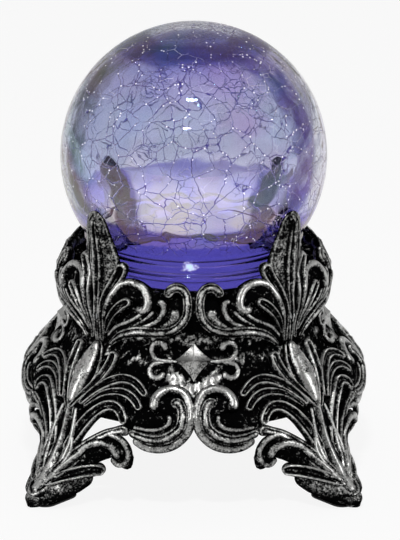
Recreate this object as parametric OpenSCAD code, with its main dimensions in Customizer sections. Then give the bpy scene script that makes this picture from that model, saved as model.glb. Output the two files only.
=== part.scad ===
// Light-up crystal ball: a crackled glass globe on a four-legged scroll stand,
// with a battery lamp tray screwed up inside the stand.
// Millimetres, +Z up, origin on the floor under the middle; the front faces -Y.

/* [Globe] */
// Outside diameter of the glass globe
globe_d = 125; // [105:1:150]
// Thickness of the glass
globe_wall = 3.8; // [2:0.1:5]
// Diameter of the shoulder where the globe turns into its neck
shoulder_d = 102; // [84:1:104]
// Height of the shoulder band
shoulder_h = 9.6; // [6:0.2:12]
// Radial step from the shoulder in to the neck
neck_step = 2.5; // [1.5:0.25:4]
// Height of the neck under the shoulder
neck_h = 9.5; // [7:0.5:14]

/* [Stand] */
// Height of the globe's seat above the floor
seat_z = 90; // [75:1:108]
// Height of the body's rim above the seat
rim_rise = 6.5; // [4:0.5:9]
// Width of the rim round the globe's neck
rim_w = 6; // [5:0.5:9]
// Radial step from the rim out to the waist band
waist_step = 6; // [5:0.5:10]
// Distance of the waist band's middle below the seat
waist_drop = 17; // [14:0.5:20]
// Radial flare from the waist out to the skirt
skirt_flare = 16; // [12:0.5:22]
// Height of the skirt's widest line
skirt_z = 45; // [40:1:52]
// Height of the skirt's turned edge under its widest line
hem_drop = 4; // [3:0.5:6]
// Wall of the stand's castings
body_wall = 4; // [3:0.25:5]
// Distance from the middle to the heel and to the toe of each foot
foot_heel_r = 78; // [74:1:86]
foot_toe_r = 104; // [98:1:126]
// Width of a foot's sole
foot_w = 15; // [12:0.5:18]
// How far the claw tips stand below the globe's middle
claw_drop = 14; // [8:1:22]
// Half width of a claw at its root
claw_w = 8; // [6:0.5:10]
// Outer radius of the C scrolls at the hem
scroll_r = 12; // [10:0.5:14]
// Angle from a panel's middle to its C scrolls
scroll_az = 10.6; // [9:0.1:12]
// Height of the C scrolls' middle
scroll_z = 42; // [38:1:48]

/* [Lamp tray] */
// Gap between the lamps' tops and the shelf over them
lamp_gap = 7; // [4:0.5:12]
// Outside diameter of the tray
tray_d = 96; // [88:1:98]
// Floor and walls of the tray
tray_wall = 2.4; // [2.2:0.1:3]
// Height of the tray's side wall
tray_h = 12; // [8:1:16]
// Diameter of the circuit board
board_d = 40; // [34:1:46]
// Thickness of the circuit board
board_t = 1.6; // [1:0.1:2]
// Height of the board's posts above the battery pocket
board_post_h = 3.5; // [2:0.5:6]
// Diameter of a lamp
led_d = 5; // [3:0.5:6]
// Thickness of the diffuser disc
diffuser_t = 2; // [1.5:0.25:3]

/* [Batteries] */
// Diameter of one cell
cell_d = 10.5; // [9:0.1:12.6]
// Length of one cell with its nub
cell_l = 44.5; // [37:0.5:50]
// Room for a spring at a cell's flat end
spring_l = 5; // [4:0.5:6]
// Travel of the switch knob
switch_travel = 4; // [2:0.5:5]

/* [Hidden] */

fit = 0.3;          // loose clearance between pieces that don't move
run_fit = 0.06;     // radial clearance of a pin that turns
thread_fit = 0.05;  // radial clearance of a plain-drawn screw in its hole
eps = 0.01;

// Corners of the stand, as angles round +Z from +X
az_front_left = 225;
az_front_right = 315;
az_rear_right = 45;
az_rear_left = 135;
corners = [az_front_left, az_front_right, az_rear_right, az_rear_left];
panels = [0, 90, 180, 270];

// Globe
globe_r = globe_d / 2;
shoulder_r = shoulder_d / 2;
neck_r = shoulder_r - neck_step;
gasket_t = 1.5;
neck_z = seat_z + gasket_t;
shoulder_z = neck_z + neck_h;
globe_z = shoulder_z + shoulder_h + sqrt(pow(globe_r, 2) - pow(shoulder_r, 2));

// Body
pocket_gap = 0.6;
pocket_r = neck_r + pocket_gap;
rim_z = seat_z + rim_rise;
rim_r = pocket_r + rim_w;
waist_r = rim_r + waist_step;
waist_z = seat_z - waist_drop;
waist_band = 7;
skirt_r = waist_r + skirt_flare;
hem_z = skirt_z - hem_drop;
flare_z = (waist_z - waist_band + skirt_z) / 2;
flare_r = waist_r + skirt_flare * 0.42;
shelf_t = 4;
shelf_z = seat_z - shelf_t;
shelf_ir = neck_r - 9.5;
diffuser_r = shelf_ir + 2.2;
recess_z = seat_z - diffuser_t - 0.2;
body_outline = [
    [skirt_r - 1.5, hem_z],
    [skirt_r, skirt_z],
    [flare_r, flare_z],
    [waist_r, waist_z - waist_band],
    [waist_r, waist_z + waist_band / 2],
    [waist_r + 1.5, (waist_z + rim_z) / 2 + 2],
    [waist_r - 1, rim_z - 4],
    [rim_r, rim_z]
];

// Feet
pad_t = 0.8;
foot_mid_r = (foot_heel_r + foot_toe_r) / 2;
sole_heel_h = 9;
sole_toe_h = 7;
bed_gap = 0.05;     // paint film between a leg and the body

// Screws
screw_r = 1.45;
screw_head_r = 2.8;
screw_head_h = 2;
screw_l = 9;
small_r = 1.1;
small_head_r = 2;
small_head_h = 1.4;
leg_screw_z = [waist_z - waist_band - 1, waist_z + waist_band + 3];
leg_pad_r = waist_r - body_wall - 2;
leg_pad_w = screw_head_r + 1.4;

// Battery pocket: three cells side by side, along X
pitch = cell_d + 0.6;
pocket_w = 3 * pitch + 0.4;
contact_t = 0.4;
pocket_l = cell_l + spring_l + 2 * contact_t;
pocket_y = 6;
pocket_y0 = pocket_y - pocket_w / 2;
pocket_y1 = pocket_y + pocket_w / 2;

// Lamp tray, stacked down from the shelf over the lamps
led_h = 8.6;
board_top_z = shelf_z - lamp_gap - led_h;
board_z = board_top_z - board_t;
roof_z = board_z - board_post_h;
pocket_top_z = roof_z - tray_wall;
cell_z = pocket_top_z - 0.6 - cell_d / 2;
tray_z = cell_z - cell_d / 2 - 0.6 - tray_wall;
tray_top_z = tray_z + tray_wall;
tray_r = tray_d / 2;
boss_at = tray_r - 5;
boss_r = 3.6;
board_post_x = board_d / 2 - 5;
board_post_r = 3;

// Battery door, flush in the tray's floor and turning on two pins at its rear edge
door_r = tray_wall / 2;
door_y = pocket_y1 - fit - door_r;
door_z = tray_z + door_r;
pin_r = 0.6;
pin_l = 1.6;

// Switch
switch_y = pocket_y0 - 14;
switch_l = 17;
switch_w = 7.5;
switch_h = 5.5;
switch_wall = 1;
slider_l = 7;
slider_h = 2.8;
knob_l = 4;
knob_w = 3;
knob_drop = 1.5;
ear_x = switch_l / 2 + 2.6;
ear_t = 1.2;

// ---------------------------------------------------------------- helpers

// Place children on the outside at an angle round +Z: local +X is outward.
module at_angle(az) {
    rotate([0, 0, az]) children();
}

// A point at an angle, a radius and a height
function polar(az, r, z) = [r * cos(az), r * sin(az), z];

function unit(v) = v / norm(v);

// The direction of a path at its i-th point
function heading(p, i) =
    unit(p[min(i + 1, len(p) - 1)] - p[max(i - 1, 0)]);

// One ring of a tube: a is the half size across, b the half size the other way
function ring(c, t, up, a, b, n) =
    let (s = unit(cross(up, t)), u = cross(t, s))
    [for (k = [0:n - 1]) c + s * a * cos(360 * k / n) + u * b * sin(360 * k / n)];

// A tube of n sides through the points p, with half sizes sz = [a, b] at each point
module tube(p, sz, n = 12, up = [0, 0, 1]) {
    m = len(p);
    rings = [for (i = [0:m - 1]) each ring(p[i], heading(p, i), up, sz[i][0], sz[i][1], n)];
    walls = [
        for (i = [0:m - 2], k = [0:n - 1])
            let (a = i * n + k, b = i * n + (k + 1) % n)
                each [[a, a + n, b + n], [a, b + n, b]]
    ];
    foot = [for (k = [1:n - 2]) [0, k, k + 1]];
    top = [for (k = [1:n - 2]) [(m - 1) * n, (m - 1) * n + k + 1, (m - 1) * n + k]];
    polyhedron(points = rings, faces = concat(walls, foot, top), convexity = 6);
}

// A pan-head screw along -Z from its head's underside at the origin
module screw(r, l, head_r, head_h) {
    difference() {
        union() {
            cylinder(r = head_r, h = head_h, $fn = 40);
            translate([0, 0, -l]) cylinder(r = r, h = l + eps, $fn = 32);
        }
        for (turn = [0, 90])
            rotate([0, 0, turn])
                translate([-head_r * 0.55, -0.35, head_h - 0.9])
                    cube([head_r * 1.1, 0.7, 1]);
    }
}

// ---------------------------------------------------------------- globe

module glass_globe() {
    color([0.55, 0.5, 0.85, 0.5])
        difference() {
            union() {
                intersection() {
                    translate([0, 0, globe_z]) sphere(r = globe_r, $fn = 96);
                    translate([0, 0, shoulder_z]) cylinder(r = globe_r + 1, h = globe_d, $fn = 96);
                }
                translate([0, 0, shoulder_z]) cylinder(r = shoulder_r, h = shoulder_h, $fn = 96);
                translate([0, 0, neck_z]) cylinder(r = neck_r, h = neck_h + eps, $fn = 96);
            }
            translate([0, 0, globe_z]) sphere(r = globe_r - globe_wall, $fn = 96);
            translate([0, 0, shoulder_z + globe_wall])
                cylinder(r = shoulder_r - globe_wall, h = shoulder_h, $fn = 96);
            translate([0, 0, neck_z - 1])
                cylinder(r = neck_r - globe_wall, h = neck_h + globe_wall + 2, $fn = 96);
        }
}

module globe_gasket() {
    color("gainsboro")
        translate([0, 0, seat_z])
            difference() {
                cylinder(r = neck_r + 0.3, h = gasket_t, $fn = 96);
                translate([0, 0, -1]) cylinder(r = neck_r - globe_wall - 1, h = gasket_t + 2, $fn = 96);
            }
}

// ---------------------------------------------------------------- stand

// The body's outline filled in to the axis, grown by g
module body_envelope(g) {
    rotate_extrude($fn = 96)
        polygon(concat([[0, hem_z - 20]], [[body_outline[0][0] + g, hem_z - 20]],
            [for (p = body_outline) [p[0] + g, p[1]]], [[0, rim_z]]));
}

module body_shell() {
    inner_wall = [for (i = [4:-1:0]) [body_outline[i][0] - body_wall, body_outline[i][1]]];
    rotate_extrude($fn = 96)
        polygon(concat(
            body_outline,
            [
                [pocket_r, rim_z], [pocket_r, seat_z],
                [diffuser_r + fit, seat_z], [diffuser_r + fit, recess_z],
                [shelf_ir, recess_z], [shelf_ir, shelf_z], [waist_r - body_wall, shelf_z]
            ],
            inner_wall
        ));
}

// Round heads of the paired scrolls on the rim, and the raised work on each panel, grown by g
head_az = 9;        // angle from a panel's middle to a scroll head
head_r = 6.5;
eye_az = 14.5;      // angle to the small volutes beside the star
eye_r = 2.6;
star_r = 6.5;
module panel_ornament(g = 0) {
    for (s = [-1, 1]) {
        rotate([0, 0, s * head_az])
            translate([rim_r + 2.5, 0, rim_z - 3]) sphere(r = head_r + g, $fn = 48);
        rotate([0, 0, s * scroll_az])
            translate([skirt_r - 5, 0, scroll_z])
                rotate([0, 90, 0]) cylinder(r = scroll_r + g, h = 8 + g, $fn = 64);
        for (v = [-1, 1])
            rotate([0, 0, s * eye_az])
                translate([waist_r - 2, 0, waist_z - 4.5 + v * 5.5])
                    rotate([0, 90, 0]) cylinder(r = eye_r + g, h = 3.4 + g, $fn = 32);
    }
    translate([waist_r - 1, 0, waist_z - 5])
        rotate([0, 90, 0]) cylinder(r1 = star_r, r2 = 1, h = 4, $fn = 4);
}

module stand_body() {
    color([0.24, 0.24, 0.25])
        difference() {
            union() {
                body_shell();
                for (az = panels) at_angle(az) panel_ornament();
                // pads inside the wall for the leg screws
                for (az = corners, z = leg_screw_z)
                    at_angle(az) translate([leg_pad_r, 0, z])
                        rotate([0, 90, 0]) cylinder(r = leg_pad_w, h = body_wall + 1, $fn = 40);
                // posts that the tray is screwed up to
                for (az = panels)
                    at_angle(az) translate([boss_at, 0, tray_top_z])
                        cylinder(r = boss_r, h = shelf_z - tray_top_z + 1, $fn = 40);
            }
            // the globe's pocket stays open above the seat
            translate([0, 0, seat_z]) cylinder(r = pocket_r, h = 40, $fn = 96);
            // the eyes of the C scrolls
            for (az = panels, s = [-1, 1])
                at_angle(az + s * scroll_az) translate([skirt_r - 30, 0, scroll_z - 1])
                    rotate([0, 90, 0]) cylinder(r = scroll_r - 7.5, h = 60, $fn = 40);
            for (az = corners, z = leg_screw_z)
                at_angle(az) translate([leg_pad_r - 1, 0, z])
                    rotate([0, 90, 0]) cylinder(r = screw_r + 0.25, h = 30, $fn = 32);
            for (az = panels)
                at_angle(az) translate([boss_at, 0, tray_z])
                    cylinder(r = screw_r + thread_fit, h = screw_l + 1, $fn = 32);
        }
}

// The leg's spine in its own plane: [distance out, height, half width, half depth]
claw_tip_z = globe_z - claw_drop;
function claw_r(z) = sqrt(pow(globe_r, 2) - pow(globe_z - z, 2)) + 4.4;
leg_spine = [
    [claw_r(claw_tip_z) + 0.6, claw_tip_z, 1.6, 1.4],
    [claw_r(claw_tip_z - 8), claw_tip_z - 8, claw_w * 0.5, 2.6],
    [claw_r(claw_tip_z - 18) + 1, claw_tip_z - 18, claw_w * 0.8, 3.8],
    [waist_r - 0.5, rim_z + 8, claw_w, 5],
    [waist_r, rim_z - 8, claw_w * 0.9, 5.5],
    [waist_r - 0.5, waist_z + 6, claw_w * 0.7, 4.5],
    [waist_r, waist_z - waist_band, claw_w * 0.7, 4.5],
    [flare_r - 0.5, flare_z, claw_w, 6],
    [skirt_r - 1, skirt_z - 1, claw_w * 0.75, 5.5],
    [foot_heel_r + 4, hem_z - 15, claw_w * 0.6, 6],
    [foot_mid_r, 13, claw_w * 0.7, 6.5],
    [foot_toe_r - 6, 8, foot_w / 2 - 0.5, 6],
    [foot_toe_r + 2.5, 5.5, foot_w / 4, 2.6]
];

module leg_core() {
    tube([for (s = leg_spine) [s[0], 0, s[1]]], [for (s = leg_spine) [s[2], s[3]]], 16, [1, 0, 0]);
    // sole
    intersection() {
        union() {
            translate([foot_heel_r + foot_w / 2, 0, pad_t])
                cylinder(r1 = foot_w / 2, r2 = foot_w / 2 - 3, h = sole_heel_h, $fn = 48);
            translate([foot_toe_r - foot_w / 2, 0, pad_t])
                cylinder(r1 = foot_w / 2, r2 = foot_w / 2 - 2, h = sole_toe_h, $fn = 48);
            translate([foot_heel_r + foot_w / 2, -foot_w / 2, pad_t])
                cube([foot_toe_r - foot_heel_r - foot_w, foot_w, 6]);
        }
        translate([0, -60, pad_t]) cube([200, 120, 60]);
    }
}

// A tube that lies on the body: each size is [half width, half thickness]
module leaf(p, sz) {
    tube(p, sz, 12, [1, 0, 0]);
}

// Two arms from the leg, on side s: one up to the hem's scrolls, one curling under it
module leg_arms(s) {
    leaf([
        polar(0, foot_mid_r - 2, 15), polar(s * 6, foot_mid_r - 6, 21),
        polar(s * 13, skirt_r + 7, 28), polar(s * 19, skirt_r + 2.5, 34),
        polar(s * 22.2, skirt_r + 1, scroll_z - 4)
    ], [[5, 5], [4.5, 5], [3.6, 4.5], [3.2, 4], [3.4, 3.4]]);
    leaf([
        polar(s * 4, foot_mid_r - 5, 12), polar(s * 11, skirt_r + 7, 17),
        polar(s * 17.5, skirt_r + 2, 20), polar(s * 22, skirt_r - 1, 19)
    ], [[5.5, 4.5], [6.5, 4.5], [6, 4.5], [3, 3]]);
}

// Leaves that fan out from the foot of the claw, on side s
module claw_leaves(s) {
    leaf([
        polar(s * 2, waist_r + 0.5, waist_z - 1), polar(s * 9, waist_r + 1, rim_z - 16),
        polar(s * 15, waist_r + 1, rim_z - 5), polar(s * 22, waist_r + 0.5, rim_z - 4)
    ], [[4, 3], [5.5, 3.5], [6, 3.8], [3.5, 3]]);
    leaf([
        polar(s * 2, waist_r, waist_z + 4), polar(s * 8, waist_r - 0.5, rim_z - 3),
        polar(s * 11, waist_r - 2, rim_z + 11)
    ], [[4, 3], [4.6, 3], [1.6, 1.6]]);
    leaf([
        polar(s * 3, waist_r + 0.5, waist_z - 4), polar(s * 16, waist_r + 1, waist_z + 3),
        polar(s * 30, waist_r + 1, waist_z + 6), polar(s * 38, waist_r + 0.5, rim_z - 12)
    ], [[3.5, 3], [4, 3], [3.6, 3], [2.4, 2.4]]);
}

// Leaves that fan out from the bud over the skirt, on side s
module bud_leaves(s) {
    leaf([
        polar(s * 3, skirt_r - 3, skirt_z - 3), polar(s * 9, skirt_r - 4, skirt_z + 6),
        polar(s * 17, skirt_r - 3, skirt_z + 8), polar(s * 23, skirt_r - 1.5, skirt_z + 3)
    ], [[4.5, 3.6], [6, 3.6], [5.5, 3.6], [3, 3]]);
    leaf([
        polar(s * 2, skirt_r - 5, skirt_z + 3), polar(s * 8, flare_r + 1, flare_z + 4),
        polar(s * 17, waist_r + 3, waist_z - 11), polar(s * 25, waist_r + 3.5, waist_z - 14)
    ], [[4, 3], [5.5, 3.2], [5, 3.2], [2.4, 2.4]]);
}

module leg(az) {
    color([0.45, 0.45, 0.46])
        at_angle(az)
            difference() {
                union() {
                    leg_core();
                    for (s = [-1, 1]) {
                        leg_arms(s);
                        claw_leaves(s);
                        bud_leaves(s);
                    }
                }
                // the leg is bedded on the body and stands clear of the globe
                body_envelope(bed_gap);
                for (turn = [-45, 45]) at_angle(turn) panel_ornament(bed_gap);
                translate([0, 0, globe_z]) sphere(r = globe_r + 0.4, $fn = 96);
                translate([0, 0, rim_z - 1]) cylinder(r = shoulder_r + 0.6, h = 30, $fn = 96);
                for (z = leg_screw_z)
                    translate([leg_pad_r, 0, z])
                        rotate([0, 90, 0]) cylinder(r = screw_r + thread_fit, h = screw_l + 0.6, $fn = 32);
            }
}

module foot_pad(az) {
    color("black")
        at_angle(az)
            hull() {
                translate([foot_heel_r + foot_w / 2, 0, 0])
                    cylinder(r = foot_w / 2 - 1.5, h = pad_t, $fn = 32);
                translate([foot_toe_r - foot_w / 2, 0, 0])
                    cylinder(r = foot_w / 2 - 1.5, h = pad_t, $fn = 32);
            }
}

module leg_screws() {
    color("silver")
        for (az = corners, z = leg_screw_z)
            at_angle(az) translate([leg_pad_r, 0, z])
                rotate([0, -90, 0]) screw(screw_r, screw_l, screw_head_r, screw_head_h);
}

// ---------------------------------------------------------------- lamp

module light_diffuser() {
    color([0.93, 0.9, 1])
        translate([0, 0, recess_z]) cylinder(r = diffuser_r, h = diffuser_t, $fn = 96);
}

// The pocket's walls and roof, standing on the tray's floor
module pocket_box() {
    translate([-pocket_l / 2 - tray_wall, pocket_y0 - tray_wall, tray_z])
        cube([pocket_l + 2 * tray_wall, pocket_w + 2 * tray_wall, roof_z - tray_z]);
}

module lamp_tray() {
    slot_l = knob_l + switch_travel + 2 * fit;
    color([0.08, 0.08, 0.09])
        difference() {
            union() {
                translate([0, 0, tray_z]) cylinder(r = tray_r, h = tray_wall, $fn = 96);
                difference() {
                    translate([0, 0, tray_z]) cylinder(r = tray_r, h = tray_h, $fn = 96);
                    translate([0, 0, tray_z]) cylinder(r = tray_r - tray_wall, h = tray_h + 1, $fn = 96);
                    for (az = panels)
                        at_angle(az) translate([boss_at, 0, tray_top_z])
                            cylinder(r = boss_r + fit, h = tray_h, $fn = 40);
                }
                pocket_box();
                for (x = [-board_post_x, board_post_x])
                    translate([x, 0, roof_z - eps])
                        cylinder(r = board_post_r, h = board_post_h + eps, $fn = 32);
            }
            // the pocket, open below
            translate([-pocket_l / 2, pocket_y0, tray_z - 1])
                cube([pocket_l, pocket_w, pocket_top_z - tray_z + 1]);
            // holes for the door's pins
            translate([-pocket_l / 2 - pin_l - fit, door_y, door_z])
                rotate([0, 90, 0]) cylinder(r = pin_r + run_fit, h = pocket_l + 2 * (pin_l + fit), $fn = 32);
            // thumb scoop at the door's free edge
            translate([0, pocket_y0 - tray_wall - 1, tray_z - 8]) sphere(r = 9, $fn = 64);
            // slots in the roof for the two solder tabs
            for (s = [-1, 1])
                translate([s * (pocket_l / 2 - contact_t / 2) - contact_t, tab_y(s) - 2, pocket_top_z - 1])
                    cube([2 * contact_t, 4, tray_wall + 2]);
            // slot for the switch knob
            translate([-slot_l / 2, switch_y - knob_w / 2 - fit, tray_z - 1])
                cube([slot_l, knob_w + 2 * fit, tray_wall + 2]);
            for (x = [-ear_x, ear_x])
                translate([x, switch_y, tray_z + 0.6]) cylinder(r = small_r + thread_fit, h = 9, $fn = 32);
            for (x = [-board_post_x, board_post_x])
                translate([x, 0, roof_z - 1]) cylinder(r = small_r + thread_fit, h = 9, $fn = 32);
            for (az = panels)
                at_angle(az) {
                    translate([boss_at, 0, tray_z - 1]) cylinder(r = screw_r + 0.25, h = 9, $fn = 32);
                }
        }
}

module tray_screws() {
    color("silver")
        for (az = panels)
            at_angle(az) translate([boss_at, 0, tray_z])
                rotate([180, 0, 0]) screw(screw_r, screw_l, screw_head_r, screw_head_h);
}

module led_board() {
    color([0.92, 0.92, 0.9])
        translate([0, 0, board_z])
            difference() {
                cylinder(r = board_d / 2, h = board_t, $fn = 80);
                for (x = [-board_post_x, board_post_x])
                    translate([x, 0, -1]) cylinder(r = small_r + 0.25, h = board_t + 2, $fn = 32);
            }
}

module board_screws() {
    color("silver")
        for (x = [-board_post_x, board_post_x])
            translate([x, 0, board_top_z]) screw(small_r, board_t + board_post_h, small_head_r, small_head_h);
}

// A round lamp standing on the board: rim, body and domed top
module led(k) {
    color([0.5, 0.3, 1])
        at_angle(90 + 120 * k)
            translate([8, 0, board_top_z]) {
                cylinder(r = led_d / 2 + 0.4, h = 1, $fn = 40);
                cylinder(r = led_d / 2, h = led_h - led_d / 2, $fn = 40);
                translate([0, 0, led_h - led_d / 2]) sphere(r = led_d / 2, $fn = 40);
            }
}

module led_resistor() {
    color([0.8, 0.7, 0.5])
        translate([0, -10, board_top_z]) {
            translate([-3, 0, 1.2]) rotate([0, 90, 0]) cylinder(r = 1.1, h = 6, $fn = 32);
            for (s = [-1, 1]) {
                translate([s * 4.5 - (s > 0 ? 1.5 : 0), 0, 1.2])
                    rotate([0, 90, 0]) cylinder(r = 0.3, h = 1.5, $fn = 16);
                translate([s * 4.4, 0, 0]) cylinder(r = 0.3, h = 1.4, $fn = 16);
            }
        }
}

module switch_body() {
    cavity_l = switch_l - 2 * switch_wall;
    color([0.7, 0.7, 0.72])
        translate([0, switch_y, tray_top_z])
            difference() {
                union() {
                    translate([-switch_l / 2, -switch_w / 2, 0]) cube([switch_l, switch_w, switch_h]);
                    translate([-ear_x - 2.4, -switch_w / 2, 0]) cube([2 * ear_x + 4.8, switch_w, ear_t]);
                }
                translate([-cavity_l / 2, -switch_w / 2 + switch_wall, -1])
                    cube([cavity_l, switch_w - 2 * switch_wall, slider_h + 1 + 2 * fit]);
                for (x = [-ear_x, ear_x])
                    translate([x, 0, -1]) cylinder(r = small_r + 0.2, h = 4, $fn = 32);
            }
}

module switch_knob() {
    color([0.1, 0.1, 0.1])
        translate([-switch_travel / 2, switch_y, tray_top_z]) {
            translate([-slider_l / 2, -switch_w / 2 + switch_wall + fit, fit])
                cube([slider_l, switch_w - 2 * switch_wall - 2 * fit, slider_h]);
            translate([-knob_l / 2, -knob_w / 2, -tray_wall - knob_drop])
                cube([knob_l, knob_w, tray_wall + knob_drop + 1]);
        }
}

module switch_screws() {
    color("silver")
        for (x = [-ear_x, ear_x])
            translate([x, switch_y, tray_top_z + ear_t])
                screw(small_r, ear_t + 1.6, small_head_r, small_head_h);
}

// ---------------------------------------------------------------- batteries

// Row k's middle, and +1 where its nub points to +X
function cell_y(k) = pocket_y + (k - 1) * pitch;
function cell_dir(k) = k == 1 ? -1 : 1;
function tab_y(s) = s > 0 ? cell_y(0) : cell_y(2);
cell_nub = 1;

module at_cell(k) {
    translate([0, cell_y(k), cell_z]) rotate([0, 0, cell_dir(k) > 0 ? 0 : 180]) children();
}

module battery(k) {
    color([0.75, 0.6, 0.25])
        at_cell(k) translate([pocket_l / 2 - contact_t, 0, 0])
            rotate([0, -90, 0]) {
                cylinder(r = 1.9, h = cell_nub + 0.5, $fn = 40);
                translate([0, 0, cell_nub]) cylinder(r = cell_d / 2, h = cell_l - cell_nub, $fn = 64);
            }
}

// A wire coil that narrows towards the cell
module battery_spring(k) {
    turns = 4;
    steps = 12;
    wire_r = 0.3;
    coil = [for (i = [0:turns * steps])
        let (t = i / (turns * steps), a = 360 * i / steps, r = 3.8 - 1.6 * t)
            [wire_r + (spring_l - 2 * wire_r) * t, r * cos(a), r * sin(a)]];
    color("silver")
        at_cell(k) translate([-pocket_l / 2 + contact_t, 0, 0])
            tube(coil, [for (p = coil) [wire_r, wire_r]], 6, [1, 0, 0]);
}

// A plate against the pocket's end wall, s = -1 or +1, from row a to row b
module contact_plate(s, a, b) {
    y0 = min(cell_y(a), cell_y(b)) - 4;
    y1 = max(cell_y(a), cell_y(b)) + 4;
    translate([s > 0 ? pocket_l / 2 - contact_t : -pocket_l / 2, y0, cell_z - 4])
        cube([contact_t, y1 - y0, 8]);
}

// The same plate with a tab up through the roof for a wire
module tabbed_plate(s, row) {
    contact_plate(s, row, row);
    translate([s > 0 ? pocket_l / 2 - contact_t : -pocket_l / 2, cell_y(row) - 1.5, cell_z])
        cube([contact_t, 3, roof_z + 3 - cell_z]);
}

module contact_plus() { color("silver") tabbed_plate(1, 0); }
module contact_minus() { color("silver") tabbed_plate(-1, 2); }
module contact_bridge_left() { color("silver") contact_plate(-1, 0, 1); }
module contact_bridge_right() { color("silver") contact_plate(1, 1, 2); }

module battery_door() {
    x0 = -pocket_l / 2 + fit;
    door_l = pocket_l - 2 * fit;
    color([0.09, 0.09, 0.1])
        difference() {
            union() {
                translate([x0, pocket_y0 + fit, tray_z]) cube([door_l, door_y - pocket_y0 - fit, tray_wall]);
                translate([x0, door_y, door_z]) rotate([0, 90, 0]) cylinder(r = door_r, h = door_l, $fn = 48);
                translate([x0 - fit - pin_l + 0.2, door_y, door_z])
                    rotate([0, 90, 0]) cylinder(r = pin_r, h = door_l + 2 * (fit + pin_l - 0.2), $fn = 32);
            }
            // grip grooves by the free edge
            for (i = [0:4])
                translate([-7, pocket_y0 + 3 + i * 1.6, tray_z - 0.5]) cube([14, 0.8, 1]);
        }
}

// ---------------------------------------------------------------- wires

wire_d = 1.4;
wire_top_z = roof_z + 1.8;
wire_side_y = pocket_y0 - tray_wall - 1.6;
red_route = [
    [pocket_l / 2 + 0.9, tab_y(1), wire_top_z],
    [pocket_l / 2 + 2.4, tab_y(1) - 1.5, wire_top_z],
    [pocket_l / 2 + 3.6, tab_y(1) - 4.5, wire_top_z - 2],
    [pocket_l / 2 + 2.6, wire_side_y, wire_top_z - 5],
    [19, wire_side_y - 1.2, wire_top_z - 7],
    [10, switch_y + 1.5, tray_top_z + switch_h + 3],
    [4, switch_y, tray_top_z + switch_h + 1.6],
    [4, switch_y, tray_top_z + switch_h]
];
black_route = [
    [-pocket_l / 2 - 0.9, tab_y(-1), wire_top_z],
    [-pocket_l / 2 - 2.4, tab_y(-1) - 1.5, wire_top_z],
    [-pocket_l / 2 - 1.6, tab_y(-1) - 6, wire_top_z + 1.5],
    [-pocket_l / 2 + 1.5, tab_y(-1) - 11, board_z + 3.2],
    [-19, 4, board_top_z + 2.6],
    [-12, 8, board_top_z + 1.6],
    [-12, 8, board_top_z]
];

module wire(route, tint) {
    color(tint)
        tube(route, [for (p = route) [wire_d / 2, wire_d / 2]], 8, [0.13, 0.31, 0.94]);
}

module wire_red() { wire(red_route, "red"); }
module wire_black() { wire(black_route, "black"); }

glass_globe();
globe_gasket();
stand_body();
leg(az_front_left);  // leg_front_left
leg(az_front_right);  // leg_front_right
leg(az_rear_right);  // leg_rear_right
leg(az_rear_left);  // leg_rear_left
foot_pad(az_front_left);  // foot_pad_front_left
foot_pad(az_front_right);  // foot_pad_front_right
foot_pad(az_rear_right);  // foot_pad_rear_right
foot_pad(az_rear_left);  // foot_pad_rear_left
leg_screws();
light_diffuser();
lamp_tray();
tray_screws();
led_board();
led(0);  // led_1
led(1);  // led_2
led(2);  // led_3
led_resistor();
board_screws();
switch_body();
switch_knob();
switch_screws();
battery(0);  // battery_1
battery(1);  // battery_2
battery(2);  // battery_3
battery_spring(0);  // battery_spring_1
battery_spring(1);  // battery_spring_2
battery_spring(2);  // battery_spring_3
contact_plus();
contact_minus();
contact_bridge_left();
contact_bridge_right();
battery_door();
wire_red();
wire_black();
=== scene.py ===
# %% [markdown]
# # A light-up crystal ball
#
# The object is a crackled glass globe in a baroque stand: four scrolled legs, claws that
# reach up the glass, leaves and C scrolls. Every measure is in metres in the mesh, but a
# caster thinks in millimetres, so the shapes below are worked out in millimetres and
# scaled once, when they become a mesh.

import math

import bpy
import numpy as np
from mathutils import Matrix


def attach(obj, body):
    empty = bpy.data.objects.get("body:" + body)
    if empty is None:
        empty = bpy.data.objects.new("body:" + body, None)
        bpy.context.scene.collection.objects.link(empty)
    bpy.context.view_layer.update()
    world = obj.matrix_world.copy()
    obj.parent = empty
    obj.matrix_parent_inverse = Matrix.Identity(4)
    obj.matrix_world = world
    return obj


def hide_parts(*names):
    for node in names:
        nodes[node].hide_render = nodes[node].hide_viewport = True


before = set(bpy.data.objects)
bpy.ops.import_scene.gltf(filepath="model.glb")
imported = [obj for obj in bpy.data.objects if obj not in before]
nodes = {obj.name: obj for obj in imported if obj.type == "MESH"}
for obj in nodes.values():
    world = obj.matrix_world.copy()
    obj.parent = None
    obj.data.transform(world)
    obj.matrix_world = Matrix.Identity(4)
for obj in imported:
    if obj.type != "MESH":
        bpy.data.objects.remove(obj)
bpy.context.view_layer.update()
MM = 0.001
print("pieces of the working model:", len(nodes))

# %% [markdown]
# ## Camera, floor and light
#
# A long lens flattens the view as in a product picture. The camera looks down at about
# nineteen degrees, so the leg scrolls show from a little above. Big soft lamps give the
# glass long highlights, and the pale floor gives the dark casting a clean outline.

# %% Camera
camera_distance = 1.10
camera_rise = math.radians(19.0)
aim_height = 0.0896
camera_data = bpy.data.cameras.new("camera")
camera_data.sensor_fit = "HORIZONTAL"
camera_data.sensor_width = 36.0
camera_data.lens = 207.8
camera_data.shift_x = 0.0155
camera = bpy.data.objects.new("camera", camera_data)
camera.location = (0.0, -camera_distance * math.cos(camera_rise),
    aim_height + camera_distance * math.sin(camera_rise))
camera.rotation_euler = (math.pi / 2 - camera_rise, 0.0, 0.0)
bpy.context.scene.collection.objects.link(camera)
bpy.context.scene.camera = camera

# %% [markdown]
# ## The floor
#
# A sheet of white paper lies under the product. It glows a little by itself, which is how a
# studio's lit table burns the background out to white and leaves only a faint shadow.

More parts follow.
